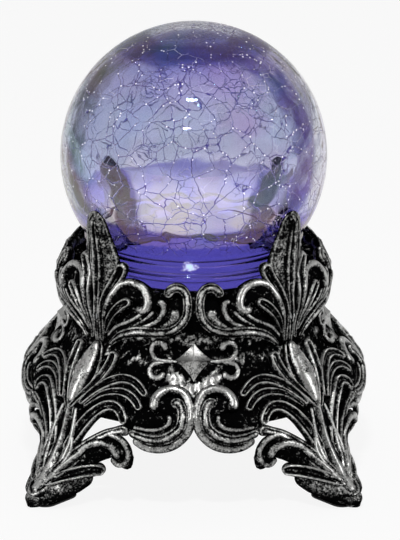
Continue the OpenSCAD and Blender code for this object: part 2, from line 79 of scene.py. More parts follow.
# %% Floor
def plain_mesh(name, points, faces):
    """A mesh object from points in metres and lists of corners."""
    mesh = bpy.data.meshes.new(name)
    mesh.from_pydata(points, [], faces)
    mesh.update()
    thing = bpy.data.objects.new(name, mesh)
    bpy.context.scene.collection.objects.link(thing)
    return thing


floor_half = 3.0
floor = plain_mesh("floor", [(-floor_half, -floor_half, 0), (floor_half, -floor_half, 0),
                             (floor_half, floor_half, 0), (-floor_half, floor_half, 0)], [(0, 1, 2, 3)])
paper = bpy.data.materials.new("floor paper")
paper.use_nodes = True
paper_bsdf = paper.node_tree.nodes["Principled BSDF"]
paper_bsdf.inputs["Base Color"].default_value = (0.14, 0.14, 0.14, 1)
paper_bsdf.inputs["Emission Color"].default_value = (1, 1, 1, 1)
paper_bsdf.inputs["Emission Strength"].default_value = 0.89
paper_bsdf.inputs["Roughness"].default_value = 1.0
paper_bsdf.inputs["Specular IOR Level"].default_value = 0.0
floor.data.materials.append(paper)

# %% [markdown]
# ## The lamps
#
# Glass mirrors every lamp, so the big lamps light the casting only. A studio does that with black
# flags, and here each lamp is linked to the pieces it may reach. Two narrow windows are left for
# the glass, and they make its two small highlights.

# %% Light
world = bpy.data.worlds.new("studio")
world.use_nodes = True
sky = world.node_tree
# the room is dim where the camera stands and pale behind the object
room = sky.nodes.new("ShaderNodeSeparateXYZ")
sky.links.new(sky.nodes.new("ShaderNodeTexCoord").outputs["Generated"], room.inputs[0])
room_light = sky.nodes.new("ShaderNodeMapRange")
for socket, value in (("From Min", -0.5), ("From Max", 0.6), ("To Min", 0.09), ("To Max", 0.50)):
    room_light.inputs[socket].default_value = value
sky.links.new(room.outputs["Y"], room_light.inputs["Value"])
sky.links.new(room_light.outputs[0], sky.nodes["Background"].inputs["Strength"])
sky.nodes["Background"].inputs["Color"].default_value = (1, 1, 1, 1)
bpy.context.scene.world = world
bpy.context.scene.view_settings.view_transform = "Standard"


def softbox(name, place, aim, width, height, watts):
    """A rectangular lamp at place that faces aim."""
    data = bpy.data.lights.new(name, "AREA")
    data.shape = "RECTANGLE"
    data.size, data.size_y = width, height
    data.energy = watts
    lamp = bpy.data.objects.new(name, data)
    lamp.location = place
    direction = np.array(aim) - np.array(place)
    lamp.rotation_euler = (math.atan2(math.hypot(*direction[:2]), -direction[2]), 0.0,
                           math.atan2(direction[1], direction[0]) - math.pi / 2)
    bpy.context.scene.collection.objects.link(lamp)
    return lamp


def flag_off(lamp, things):
    """Light linking, the studio's black flag: the lamp only reaches the things given."""
    group = bpy.data.collections.new(lamp.name + " reaches")
    for thing in things:
        group.objects.link(thing)
    lamp.light_linking.receiver_collection = group


key_lamp = softbox("key lamp", (-0.25, -1.0, 0.9), (0, 0, 0.1), 0.30, 0.22, 5.2)
window_lamp = softbox("window lamp", (-0.03, -0.52, 1.12), (0, 0, 0.15), 0.15, 0.03, 4.0)
low_window = softbox("low window", (-0.11, -0.87, 0.82), (0, 0, 0.15), 0.11, 0.018, 1.3)
left_lamp = softbox("left lamp", (-0.95, -0.45, 0.45), (0, 0, 0.08), 0.25, 0.7, 5.4)
right_lamp = softbox("right lamp", (0.95, -0.35, 0.5), (0, 0, 0.08), 0.25, 0.7, 5.4)
back_lamp = softbox("back lamp", (0.2, 0.9, 0.8), (0, 0, 0.1), 0.6, 0.3, 4.0)

# %% [markdown]
# ## Surfaces from arrays
#
# Cast ornament is one idea repeated: a profile carried along a curve that lies on the
# body. A leaf is a wide profile with a raised rim on each side of a hollow, and a scroll
# is a round bead. A sculptor rolls the same strokes in wax. Writing the stroke once keeps
# every leaf crisp, which a remeshed lump would not be, and the stroke knows which of its
# points are high, so the silver rub can follow the rims.

# %% Curves through a few points
def through(points, count):
    """Catmull-Rom curve: each span is the cubic whose slopes are half the step between neighbours."""
    p = np.asarray(points, float)
    ends = np.vstack([2 * p[0] - p[1], p, 2 * p[-1] - p[-2]])
    t = np.linspace(0, len(p) - 1, count)
    i = np.minimum(t.astype(int), len(p) - 2)
    f = (t - i)[:, None]
    a, b, c, d = ends[i], ends[i + 1], ends[i + 2], ends[i + 3]
    return 0.5 * (2 * b + (c - a) * f + (2 * a - 5 * b + 4 * c - d) * f**2 + (3 * b - a - 3 * c + d) * f**3)


def unit(v):
    """Each row divided by its length: v / |v|."""
    return v / np.maximum(np.linalg.norm(v, axis=-1, keepdims=True), 1e-9)


def ease(x):
    """0 below 0, 1 above 1, and 3x^2 - 2x^3 between."""
    x = np.clip(x, 0.0, 1.0)
    return x * x * (3 - 2 * x)

# %% [markdown]
# ## The skin
#
# The body widens downward like a bell, and each leg runs out further than the panels between the
# legs. One function gives the radius for an angle and a height, and all ornament is laid on it.
# So a leaf stays on the surface when the bell changes.

# %% The skin that the ornament lies on
panel_line = through([(10, 73), (16, 75), (22, 77.3), (30, 79.0), (38, 79.4), (44, 78.6), (49, 75.6),
                      (55, 70.8), (61, 66), (67, 62.4), (73, 61.0), (80, 61.6), (87, 62.8), (93, 62.2),
                      (97, 60.6), (101, 58.6), (106, 57.6), (114, 57.4)], 400)
leg_line = through([(0, 106), (7, 101), (15, 93.5), (22, 88.5), (28, 85.4), (36, 82.2), (44, 78.8),
    (50, 75)], 200)


def skin_radius(a, h):
    """Radius a degrees from a panel's middle, h mm up: the panel's line, easing to the leg's near 45."""
    panel = np.interp(h, panel_line[:, 0], panel_line[:, 1])
    leg = np.where(h > 50, panel, np.interp(h, leg_line[:, 0], leg_line[:, 1]))
    return panel + (leg - panel) * ease((np.abs(a) - 24) / 19) * ease((50 - h) / 8)


def skin_point(a, h, lift=0.0):
    """Place on the skin in the leg's frame: the leg is at y = 0, a panel's middle is 45 degrees away."""
    r = skin_radius(a, h) + lift
    turn = np.radians(45 - a)
    return np.stack([r * np.cos(turn), r * np.sin(turn), h + 0 * r], -1)


def skin_normal(a, h):
    """Outward normal: the cross product of the skin's steps round and up."""
    step = 0.4
    across = skin_point(a - step, h) - skin_point(a + step, h)
    upward = skin_point(a, h + step) - skin_point(a, h - step)
    return unit(np.cross(across, upward))

# %% [markdown]
# ## Many strokes, one casting
#
# A casting gathers closed strokes, checks which way each one is wound, and becomes one mesh.

# %% Many strokes, one casting
def flipped(faces):
    """The same faces wound the other way; a triangle keeps its repeated corner last."""
    turned_faces = faces[:, ::-1].copy()
    tri = faces[:, 2] == faces[:, 3]
    turned_faces[tri] = faces[tri][:, [1, 0, 2, 2]]
    return turned_faces


class Casting:
    """Points, faces and rub values of many closed strokes, gathered to become one mesh."""

    def __init__(self):
        self.points, self.faces, self.rub, self.smooth, self.count = [], [], [], [], 0

    def add(self, points, faces, rub, smooth=True):
        """Adds one closed shape; its faces are turned outward if its signed volume is negative."""
        tri = points[faces[:, :3]]
        if np.einsum("ij,ij->i", tri[:, 0], np.cross(tri[:, 1], tri[:, 2])).sum() < 0:
            faces = flipped(faces)
        self.points.append(points)
        self.faces.append(faces + self.count)
        self.rub.append(rub)
        self.smooth.append(np.full(len(faces), smooth))
        self.count += len(points)

    def add_both(self, points, faces, rub):
        """Adds the shape and its mirror image across the leg's plane."""
        self.add(points, faces, rub)
        self.add(points * np.array([1, -1, 1]), faces, rub)

    def mesh(self, name, turn=0.0):
        """One mesh object in metres, turned round +Z, with the rub as a point attribute."""
        points = np.vstack(self.points) * MM
        faces = np.vstack(self.faces)
        c, s = math.cos(turn), math.sin(turn)
        points = points @ np.array([[c, s, 0], [-s, c, 0], [0, 0, 1]])
        return grid_object(name, points, faces, {"rub": np.concatenate(self.rub)},
            np.concatenate(self.smooth))

# %% [markdown]
# ## From arrays to a mesh
#
# Whole arrays are handed over at once, because a loop over a hundred thousand points is slow.

# %% From arrays to a mesh
def grid_object(name, points, faces, values=None, smooth=True):
    """A mesh of quads (a repeated last corner means a triangle) put in place with foreach_set."""
    mesh = bpy.data.meshes.new(name)
    quads = faces[faces[:, 2] != faces[:, 3]]
    tris = faces[faces[:, 2] == faces[:, 3]][:, :3]
    loops = np.concatenate([quads.ravel(), tris.ravel()])
    is_quad = faces[:, 2] != faces[:, 3]
    smooth = np.broadcast_to(smooth, len(faces))
    ordered = np.concatenate([smooth[is_quad], smooth[~is_quad]])
    sizes = np.concatenate([np.full(len(quads), 4), np.full(len(tris), 3)])
    mesh.vertices.add(len(points))
    mesh.vertices.foreach_set("co", points.astype(np.float32).ravel())
    mesh.loops.add(len(loops))
    mesh.loops.foreach_set("vertex_index", loops.astype(np.int32))
    mesh.polygons.add(len(sizes))
    mesh.polygons.foreach_set("loop_start", (np.cumsum(sizes) - sizes).astype(np.int32))
    mesh.polygons.foreach_set("use_smooth", ordered)
    for key, value in (values or {}).items():
        mesh.attributes.new(key, "FLOAT", "POINT").data.foreach_set("value", value.astype(np.float32))
    mesh.update(calc_edges=True)
    mesh.validate()
    thing = bpy.data.objects.new(name, mesh)
    bpy.context.scene.collection.objects.link(thing)
    return thing


def tube_faces(rows, ring):
    """Quads of a tube of rows x ring points, and fans to the two poles that follow them."""
    i, j = np.meshgrid(np.arange(rows - 1), np.arange(ring), indexing="ij")
    a, b = i * ring + j, i * ring + (j + 1) % ring
    walls = np.stack([a, b, b + ring, a + ring], -1).reshape(-1, 4)
    j = np.arange(ring)
    k = (j + 1) % ring
    first, last = rows * ring, rows * ring + 1
    start = np.stack([np.full(ring, first), k, j, j], -1)
    far = (rows - 1) * ring
    stop = np.stack([np.full(ring, last), far + j, far + k, far + k], -1)
    return np.vstack([walls, start, stop])

# %% [markdown]
# ## One stroke
#
# The rows of a stroke stand across its curve, and near a tip they close like a half circle. That is
# what a round-ended modelling tool leaves in wax. Each stroke is a closed shape of its own, a bit
# sunk into its neighbours, so the casting needs no cutting or joining.

# %% A stroke: one profile carried along one curve
def stroke(points, half, height, depth, lift, top, rub, tips=(1.0, 1.0), across=17, step=0.8,
           behind=0.0):
    """A closed stroke. Rows follow the curve by arc length; near a tip they close like a half circle.
    top(q) is the profile's height and rub(q) its silver, where q runs -1 to 1 across and, in a tip, is the
    distance from the tip's centre, so that a rim runs round the end."""
    p = np.asarray(points, float)
    dense = through(p, 400)
    if p.shape[1] == 2:
        lifts = np.interp(np.linspace(0, 1, 400), np.linspace(0, 1, len(lift)), lift)
        line = skin_point(dense[:, 0], dense[:, 1])
        normal = skin_normal(dense[:, 0], dense[:, 1])
        line = line + normal * lifts[:, None]
    else:
        line = dense
        heading = unit(np.gradient(line, axis=0))
        normal = unit(np.cross(heading, np.array([0.0, 1.0, 0.0])))
        normal = normal * np.sign(normal @ np.array([1.0, 0.0, 0.35]))[:, None]
    along = np.concatenate([[0], np.cumsum(np.linalg.norm(np.diff(line, axis=0), axis=1))])
    length = along[-1]

    def graded(values, s):
        return np.interp(s / length, np.linspace(0, 1, len(values)), values)

    ends = [min(tips[0] * graded(half, np.array(0.0)), length * 0.45),
            min(tips[1] * graded(half, np.array(length)), length * 0.45)]
    arc = np.radians(np.linspace(84, 0, 6))
    middle = np.linspace(ends[0], length - ends[1], max(4, int(length / step)))
    s = np.concatenate([ends[0] * (1 - np.sin(arc[:-1])), middle,
        length - ends[1] * (1 - np.sin(arc[:-1][::-1]))])
    close = np.concatenate([arc[:-1], np.zeros(len(middle)), arc[:-1][::-1]])
    at = np.stack([np.interp(s, along, line[:, k]) for k in range(3)], -1)
    out = unit(np.stack([np.interp(s, along, normal[:, k]) for k in range(3)], -1))
    heading = unit(np.stack([np.interp(s, along, np.gradient(line[:, k])) for k in range(3)], -1))
    side = unit(np.cross(heading, out))
    out = unit(np.cross(side, heading))
    q = np.linspace(-1, 1, across)
    back = np.linspace(1, -1, 7)[1:-1]
    shrink = np.cos(close)[:, None]
    reach = np.sqrt((q[None] * shrink) ** 2 + np.sin(close)[:, None] ** 2) * np.sign(q[None] + 1e-12)
    up = graded(height, s)[:, None] * top(np.clip(reach, -1, 1))
    down = -graded(depth, s)[:, None] * np.sqrt(np.maximum(1 - back[None] ** 2, 0)) * shrink
    wide = graded(half, s)[:, None] * shrink
    spread = np.hstack([wide * q[None], wide * back[None]])
    rise = np.hstack([up, down])
    grid = at[:, None] + side[:, None] * spread[..., None] + out[:, None] * rise[..., None]
    shine = np.hstack([rub(np.clip(reach, -1, 1)), behind * np.sqrt(1 - back**2) + np.zeros((len(s), 1))])
    ring = across + len(back)
    poles = np.stack([grid[0].mean(0), grid[-1].mean(0)])
    return np.vstack([grid.reshape(-1, 3), poles]), tube_faces(len(s), ring), \
        np.concatenate([shine.ravel(), [shine[0].mean(), shine[-1].mean()]])

# %% [markdown]
# ## Profiles
#
# Each profile has two curves across the stroke: how high it stands, and how much silver it holds.
# The stand was painted black and then dry brushed, so silver stays on what stands proud.

# %% Profiles
def bump(q, middle, width):
    """A bell of height 1 at the middle, on both sides of the stroke."""
    return np.exp(-(((np.abs(q) - middle) / width) ** 2))


def gutter(q):
    """Leaf: a soft rim along each edge, a hollow between and a low vein in the hollow."""
    return (0.2 + 0.8 * bump(q, 0.66, 0.25) + 0.25 * bump(q, 0.0, 0.2)) * np.sqrt(np.maximum(1 - q**4, 0))


def gutter_rub(q):
    """Silver on the rims, and a little on the vein."""
    return 0.95 * bump(q, 0.67, 0.24) + 0.4 * bump(q, 0.0, 0.16)


def bead(q):
    """Scroll: a half circle."""
    return np.sqrt(np.maximum(1 - q * q, 0))


def bead_rub(q):
    """Silver over the whole back of the bead."""
    return 0.92 * np.maximum(1 - q**2, 0) ** 0.7


def dark_rub(q):
    """Almost none."""
    return 0.16 * np.maximum(1 - q * q, 0)


def foot_rub(q):
    """The foot's sides are worn all over."""
    return 0.44 * np.maximum(1 - q * q, 0) ** 0.5


def banded(q):
    """A thick bar: a round back with a thin rim on each side."""
    return 0.78 * np.sqrt(np.maximum(1 - q * q, 0)) + 0.26 * bump(q, 0.0, 0.34) + 0.2 * bump(q, 0.74, 0.12)


def banded_rub(q):
    """Silver on the middle and on the two rims."""
    return 0.92 * bump(q, 0.0, 0.44) + 0.75 * bump(q, 0.76, 0.14)


def almond(q):
    """Bud: a swollen face inside a groove and a thin rim."""
    return (0.95 * np.sqrt(np.maximum(1 - (q / 0.78) ** 2, 0)) * (np.abs(q) < 0.78)
            + 0.42 * bump(q, 0.88, 0.07)) * np.sqrt(np.maximum(1 - q**12, 0)) + 0.12 * (1 - q**12)


def almond_rub(q):
    """Silver on the face and the rim."""
    return 0.8 * ease((0.72 - np.abs(q)) / 0.2) + 0.8 * bump(q, 0.88, 0.07)


def horn(q):
    """Claw: a round ridge down the middle, a groove, a thin rib and a broad flank."""
    keel = 0.6 * (1 - np.abs(q) ** 1.25) + 0.4 * np.sqrt(np.maximum(1 - q * q, 0))
    spine, hollow, rim = bump(q, 0.0, 0.08), bump(q, 0.15, 0.05), bump(q, 0.35, 0.045)
    return keel + 0.06 * spine - 0.1 * hollow - 0.08 * rim + 0.05 * bump(q, 0.93, 0.05)


def horn_rub(q):
    """Silver on the ridges and thinly on the flanks."""
    flank = ease((np.abs(q) - 0.4) / 0.1) * ease((0.99 - np.abs(q)) / 0.06)
    return 1.0 * bump(q, 0.0, 0.09) + 0.9 * bump(q, 0.25, 0.07) + 0.58 * flank + 0.4 * bump(q, 0.93, 0.04)

# %% [markdown]
# ## One leg casting
#
# A claw reaches up the glass, leaves fan out from its root, a bud covers the knee, and a bar runs
# down to the foot. One leg is modelled and used four times, as a foundry would use one mould.

# %% Leaves, claw and leg of one casting
leg_cast = casting = Casting()


def leg_stroke(*args, **kw):
    """A stroke and its mirror image on the leg."""
    casting.add_both(*stroke(*args, **kw))


def leaf(points, half, height=2.0, depth=3.0, lift=(0.4,), **kw):
    """Two rims with a hollow between."""
    leg_stroke(points, half, [height], [depth], lift, gutter, gutter_rub, across=21, behind=0.95, **kw)


rib_swell = 1.22
bar_swell = 1.14


def rib(points, half, height=None, lift=(0.8,), **kw):
    """A round bead; the listed half widths swell a little."""
    full = [rib_swell * h for h in half]
    shape = stroke(points, full, height or full, [1.2], lift, bead, bead_rub, across=11, behind=0.95, **kw)
    casting.add_both(*shape)


def bar(points, half, height=None, lift=(0.6,), depth=2.5, **kw):
    """A thick bar with a rim on each side."""
    full = [bar_swell * h for h in half]
    shape = stroke(points, full, height or full, [depth], lift, banded, banded_rub, across=21, behind=0.95,
        **kw)
    casting.add_both(*shape)


def mass(points, half, height=2.0, depth=3.5, lift=(-0.5,), **kw):
    """Plain dark material that backs the ornament."""
    shape = stroke(points, half, [height], [depth], lift, bead, dark_rub, across=13, step=1.2, behind=0.8,
        **kw)
    casting.add_both(*shape)

# %% [markdown]
# ## The claw and its leaves
#
# A broad horn lies in the leg's own plane and closes on the glass. Leaves and ribs fan out from
# its root on both sides.

# %% The claw and its leaves
casting.add(*stroke(
    [(60.2, 0, 69), (59.4, 0, 76), (58.2, 0, 85), (57.2, 0, 95), (57.0, 0, 104), (57.9, 0, 112),
     (59.9, 0, 120), (61.5, 0, 127), (62.6, 0, 133.2)],
    [1.8, 3.6, 4.8, 5.8, 8.8, 10.8, 9.4, 7.2, 4.6], [3.0, 5.2, 6.6, 7.0, 7.6, 7.4, 6.0, 4.4, 2.9],
    [2.5, 3.0, 3.0, 3.0, 3.0, 2.6, 2.0, 1.2, 0.8], [0], horn, horn_rub, across=49, step=0.7))
leaf([(42.0, 71), (42.0, 79), (40.6, 88), (37.6, 97), (34.2, 105), (32.4, 110.2)],
     [0.9, 1.6, 2.2, 2.9, 3.5, 3.2], lift=(0, 0.5, 1.5), height=2.4)
mass([(41, 76), (38.5, 86), (34, 95), (28, 98.3), (20.5, 96.6), (14.5, 92.5)], [2.5, 5, 6, 5.6, 4.6, 3.4],
    lift=(0, 0, -0.3))
rib([(40.8, 79), (38.7, 88.7), (36.0, 95.0), (33.0, 99.2), (29.4, 101.0), (25.0, 100.9), (21.2, 98.6),
     (18.9, 95.0), (19.2, 91.8), (21.6, 90.8), (23.0, 92.6)], [0.9, 1.3, 1.5, 1.6, 1.7, 1.8, 1.9, 2.1],
     lift=(0.3, 1.2, 1.6, 1.5, 1.5))
leaf([(40.2, 76), (37.8, 82.5), (34.4, 87.6), (30.5, 91.6), (26.6, 94.0)], [0.9, 1.7, 2.3, 2.7, 2.4],
    lift=(0.4, 1.2), height=2.3)
mass([(39.5, 72), (31, 80), (23, 85), (16, 90)], [2.0, 4.4, 5.0, 4.4], lift=(-0.2,))
rib([(39.6, 74.0), (34.5, 80.0), (29.8, 83.2), (24.6, 86.6), (20.2, 90.4)], [0.8, 0.9, 0.9, 0.7],
    lift=(0.4, 1.2))
rib([(36.2, 77.2), (30, 80.8), (24.5, 83.8), (19.6, 87.2), (16.4, 90.8)], [0.8, 0.85, 0.85, 0.7],
    lift=(0.4, 1.2))
rib([(27.0, 81.2), (20.6, 83.2), (16.4, 85.4), (13.4, 88.4), (12.2, 91.8), (13.0, 94.4), (15.2, 94.4)],
    [0.7, 1.0, 1.1, 1.2, 1.3], lift=(0.5, 1.3))

# %% [markdown]
# ## The bud on the knee
#
# A long bud covers the knee, and three leaves curl away beside it.

# %% The bud on the knee
casting.add(*stroke(
    [(60.6, 0, 70.0), (64.6, 0, 62.5), (70.6, 0, 54.5), (76.6, 0, 46.5), (78.6, 0, 42.5)],
    [2.2, 6.2, 8.0, 6.2, 3.0], [3.0, 4.6, 5.2, 4.4, 2.6], [3.0], [0], almond, almond_rub, across=31,
    step=0.7))
leaf([(44.6, 42.0), (41.4, 48), (38.4, 53), (36.2, 58), (35.0, 63), (35.0, 68.0)],
     [1.1, 1.7, 2.3, 2.8, 3.0, 2.6], lift=(0.8,), height=2.3)
mass([(43, 45), (38, 50), (32, 53), (24, 53), (18.5, 50)], [4, 5.5, 5.5, 4.6, 3.0], lift=(-0.6,))
leaf([(40.8, 44.8), (37.2, 50.6), (33, 54.8), (28.5, 57.2), (24, 57.4), (20.2, 55.6), (16.8, 52.4)],
     [1.3, 2.2, 2.8, 3.0, 2.8, 2.4, 1.8], lift=(0.8,), height=2.4)
leaf([(39.0, 44.6), (33.8, 50.4), (28.5, 52.6), (24, 52.4), (20.4, 50.2), (18.2, 47.0)],
    [0.8, 1.4, 2.0, 2.4, 2.4, 2.0], lift=(0.5,))
leaf([(42.6, 24), (39.0, 35), (35.4, 42.0), (31.4, 46.2), (27.6, 47.2), (24.6, 45.2), (22.9, 40.8)],
     [2.4, 3.4, 3.6, 3.4, 3.2, 2.8, 2.2], height=2.4, depth=4.5, lift=(-0.4, 0.2, 0.2))

# %% [markdown]
# ## The lower curl
#
# Under the leaves a stem runs from a small knob down to the foot, with a curl and a tongue
# beside it.

# %% The lower curl
bar([(21.4, 38.6), (24.6, 37.4), (29.0, 34.8), (33.2, 30.4), (36.8, 25.4), (40.0, 19.6), (42.8, 12.6)],
    [2.7, 2.0, 2.6, 3.2, 3.4, 3.4, 3.2], height=[2.6, 1.9, 2.3, 2.6, 2.8, 2.8, 2.8], lift=(0.4,), depth=4.5)
mass([(40, 18), (34.5, 25.2), (29, 28.6), (25, 27.2), (23.0, 22.8), (25, 19.8)],
     [3, 5.4, 5.8, 5.2, 4.0, 3.0], depth=5.5, lift=(0, 2.0, 2.4, 1.6))
rib([(38.0, 24.6), (34.6, 29.0), (30.6, 31.4), (27.2, 30.8), (25.2, 28.2), (25.8, 25.8)],
    [0.9, 1.4, 1.7, 1.8, 2.2], lift=(1.6, 3.8, 3.8))
rib([(31.4, 34.2), (26.8, 35.0), (23.0, 33.6), (21.2, 30.2), (21.4, 26.2), (23.4, 22.6), (26.4, 21.0),
    (28.2, 23.6)], [0.9, 1.3, 1.4, 1.4, 1.3, 1.2], lift=(0.4, 2.8, 3.0, 1.6))
leaf([(43.4, 9.5), (40.0, 13.6), (36.4, 16.2), (33.2, 17.2), (30.4, 16.8)], [2.0, 3.2, 3.6, 3.6, 3.0],
    depth=4.5, lift=(0.6,), height=2.6)

leg_stroke([(44, 7.0), (40.5, 9.2), (37, 11.8), (33.4, 14.6)], [4.8, 5.4, 5.0, 3.4], [1.8], [4.5], (-0.4,),
    bead, foot_rub, across=17)

# %% [markdown]
# ## The leg bar and the foot
#
# The bar carries the load, so it is the thickest stroke. The sole is flat where the pad goes.

# %% The leg bar and the foot
for flank in ([(43.6, 45), (42.6, 37), (42.0, 29), (42.4, 21), (43.4, 14)],
    [(43.0, 24), (42.6, 17), (43.4, 11), (44.2, 8)]):
    mass(flank, [4.0, 5.0, 5.2, 5.6, 5.4], depth=5.0, lift=(-1.2,), height=2.4)
rib([(42.0, 43), (41.2, 36), (41.0, 28.5), (41.8, 20), (43.0, 12.5), (43.9, 8.5)],
    [0.8, 1.2, 1.3, 1.4, 1.3], lift=(0.8,))
rib([(40.6, 31), (40.0, 24.5), (41.4, 16.5), (43.0, 10.6)], [0.7, 1.1, 1.3, 1.2], lift=(1.4,))
casting.add(*stroke(
    [(77.4, 0, 46), (79.6, 0, 38), (82.6, 0, 29), (87.2, 0, 20.8), (93.0, 0, 13.4), (99.0, 0, 8.4),
    (105.4, 0, 5.0)], [2.8, 4.0, 4.4, 5.0, 6.4, 7.2, 4.4], [3.4, 3.8, 4.0, 4.2, 4.4, 3.8, 2.6],
    [4.5, 5.0, 5.5, 5.5, 5.0, 4.5, 2.6], [0], banded, banded_rub, across=31, step=0.7))


def flat_sole(points):
    """Nothing of the foot hangs below its pad."""
    points[:, 2] = np.maximum(points[:, 2], 0.8)
    return points


sole, sole_faces, sole_rub = stroke(
    [(77.6, 0, 8.0), (84, 0, 8.4), (91, 0, 7.8), (97, 0, 6.0), (103, 0, 4.2), (107.5, 0, 3.4)],
    [6.4, 7.4, 7.8, 7.8, 6.8, 3.2], [4.2, 5.0, 5.2, 4.4, 3.2, 1.8], [9.0], [0], bead, foot_rub, across=25)
sole_rub[:] = np.maximum(sole_rub * 1.5, 0.3)
casting.add(flat_sole(sole), sole_faces, sole_rub)
print("one leg casting:", sum(len(f) for f in leg_cast.faces), "faces")

# %% [markdown]
# ## The body's scrolls
#
# Between two legs each panel carries a pair of tall scrolls at the rim, a four-pointed star with
# small curls, and a pair of C scrolls at the hem. A corner holds one half of two panels.

# %% Scrolls of one body corner
scroll_cast = casting = Casting()
mass([(18, 82.6), (11.5, 86), (7.4, 91), (7.6, 96.2)], [2.5, 4.6, 5.4, 4.8], lift=(-0.6,))
bar([(38.3, 69.8), (34.8, 74), (30.1, 77.6), (24.5, 80.0), (19.5, 80.9), (15, 81.0), (10.8, 81.8),
     (6.6, 84.4), (3.6, 88.2), (2.5, 92.9), (3.0, 97.5), (5.3, 100.4), (8.2, 100.8), (10.5, 98.8),
    (10.6, 96.4)], [1.0, 1.6, 2.2, 2.6, 2.8, 2.8, 2.6, 2.4, 2.2, 2.1, 2.0, 2.0, 2.1, 2.3, 2.4], lift=(0.6,))
rib([(7.6, 93.0), (7.5, 89.4), (9.6, 86.4), (13.8, 83.6)], [2.2, 1.9, 1.4, 0.7], lift=(1.6, 0.9))
rib([(6.6, 66.8), (12.7, 66.9), (16.2, 67.6), (17.9, 70.8), (16.9, 74.3), (14.0, 75.4), (12.2, 73.6),
    (13.4, 72.0)], [0.7, 0.9, 1.0, 1.1, 1.2, 1.4, 1.6], lift=(0.2,))
rib([(11.6, 66.4), (16.3, 65.2), (17.9, 62.6), (16.6, 60.3), (14.0, 59.7), (12.4, 61.0), (13.2, 62.2)],
    [0.7, 1.0, 1.1, 1.2, 1.4, 1.6], lift=(0.2,))

# %% [markdown]
# ## C scrolls at the hem
#
# A pair of C scrolls closes the lower edge of each panel.

# %% C scrolls at the hem
mass([(13.0, 50), (7.4, 50.2), (4.2, 45), (6.6, 38.4), (12, 35.2), (19.6, 36.4)],
     [3.2, 4.8, 4.6, 4.8, 4.6, 3.6], depth=4.0, height=1.6)
mass([(9.2, 48.5), (9.8, 38.5)], [6.0, 6.0], depth=4.0, height=0.6, lift=(-1.0,))
mass([(12, 44), (18, 43.5), (24.5, 43)], [5.0, 5.5, 4.0], depth=4.0, height=0.8, lift=(-1.0,))
rib([(12.9, 47.4), (13.7, 51.4), (11.4, 54.8), (7.7, 56.0), (3.8, 54.8), (1.4, 50.6), (1.0, 45.1),
     (2.3, 39.2), (6.0, 33.6), (11.0, 31.0), (16.0, 31.4), (20.0, 34.6)], [2.2, 1.9, 1.8, 1.8, 1.7],
     lift=(0.5,))
bar([(8.0, 50.0), (5.3, 50.6), (3.7, 47.4), (4.2, 42.3), (7.0, 38.4), (11, 36.0), (15.9, 36.0), (21.4, 38.0)],
    [2.8, 2.2, 2.4, 2.6, 2.7, 2.5, 2.3, 1.8], lift=(0.8,))
rib([(8.2, 46.4), (8.0, 43.6), (10.3, 41.0), (14.3, 39.8), (20.0, 40.2)], [0.9, 0.9, 0.8, 0.7], lift=(0.7,))

# %% [markdown]
# ## The star
#
# A small cast star covers the middle of each panel.

# %% The star
def diamond(half_w, half_h, height, rows=12, ring=48):
    """A four-pointed star with the edge (|cos t| ** 2.5, |sin t| ** 2.5), rising to a point with ridges."""
    t = np.linspace(0, 2 * np.pi, ring, endpoint=False)
    edge = np.stack([np.cos(t), np.sin(t)], -1)
    edge = np.sign(edge) * np.abs(edge) ** 2.5
    k = np.linspace(1, 0.04, rows)[:, None]
    a = half_w * edge[None, :, 0] * k
    h = 67.4 + half_h * edge[None, :, 1] * k
    up = height * (1 - k) + 0 * a
    face = skin_point(a, h) + skin_normal(a, h) * (up - 0.6)[..., None]
    back = skin_point(a[:1], h[:1], -2.5)
    grid = np.vstack([back, face])
    poles = np.stack([grid[0].mean(0), grid[-1].mean(0)])
    shine = np.vstack([np.zeros((1, ring)), 0.85 + 0.25 * (1 - k) + 0 * a])
    shine = np.concatenate([shine.ravel(), [0, 1]])
    return np.vstack([grid.reshape(-1, 3), poles]), tube_faces(rows + 1, ring), shine


casting.add(*diamond(8.2, 8.2, 4.2), smooth=False)

# %% [markdown]
# ## Posts for the screws
#
# Inside the casting, plain posts take the screws: two pads for a leg, one for the tray.

# %% Posts for the screws
def peg(start, way, length, radius, ring=28):
    """A closed round post: rings at start + t * way whose radius closes to nothing at both ends."""
    way = np.asarray(way, float)
    side = unit(np.cross(way, [0.3, 0.5, 0.81]))
    other = np.cross(way, side)
    t = np.array([0, 0, 0.3, length - 0.3, length, length])
    r = radius * np.array([0.5, 0.94, 1, 1, 0.94, 0.5])
    turn = np.linspace(0, 2 * np.pi, ring, endpoint=False)
    circle = np.cos(turn)[:, None] * side + np.sin(turn)[:, None] * other
    grid = np.asarray(start) + t[:, None, None] * way + r[:, None, None] * circle[None]
    poles = np.stack([np.asarray(start, float), start + way * length])
    return np.vstack([grid.reshape(-1, 3), poles]), tube_faces(len(t), ring), np.zeros(len(t) * ring + 2)


screw_heights = (65.0, 83.0)
for screw_z in screw_heights:
    casting.add(*peg((55.12, 0, screw_z), (1, 0, 0), 4.0, 4.2))
post_at = 43.0 * math.sqrt(0.5)
casting.add(*peg((post_at, post_at, 51.3), (0, 0, 1), 35.0, 3.6))
print("one corner's scrolls:", sum(len(f) for f in scroll_cast.faces), "faces")

# %% [markdown]
# ## The body's wall
#
# Behind the ornament is a plain turned wall with a hammered band. It has the shelf that carries
# the globe's gasket, a recess for the diffuser, and the bore that the lamp tray goes up into.

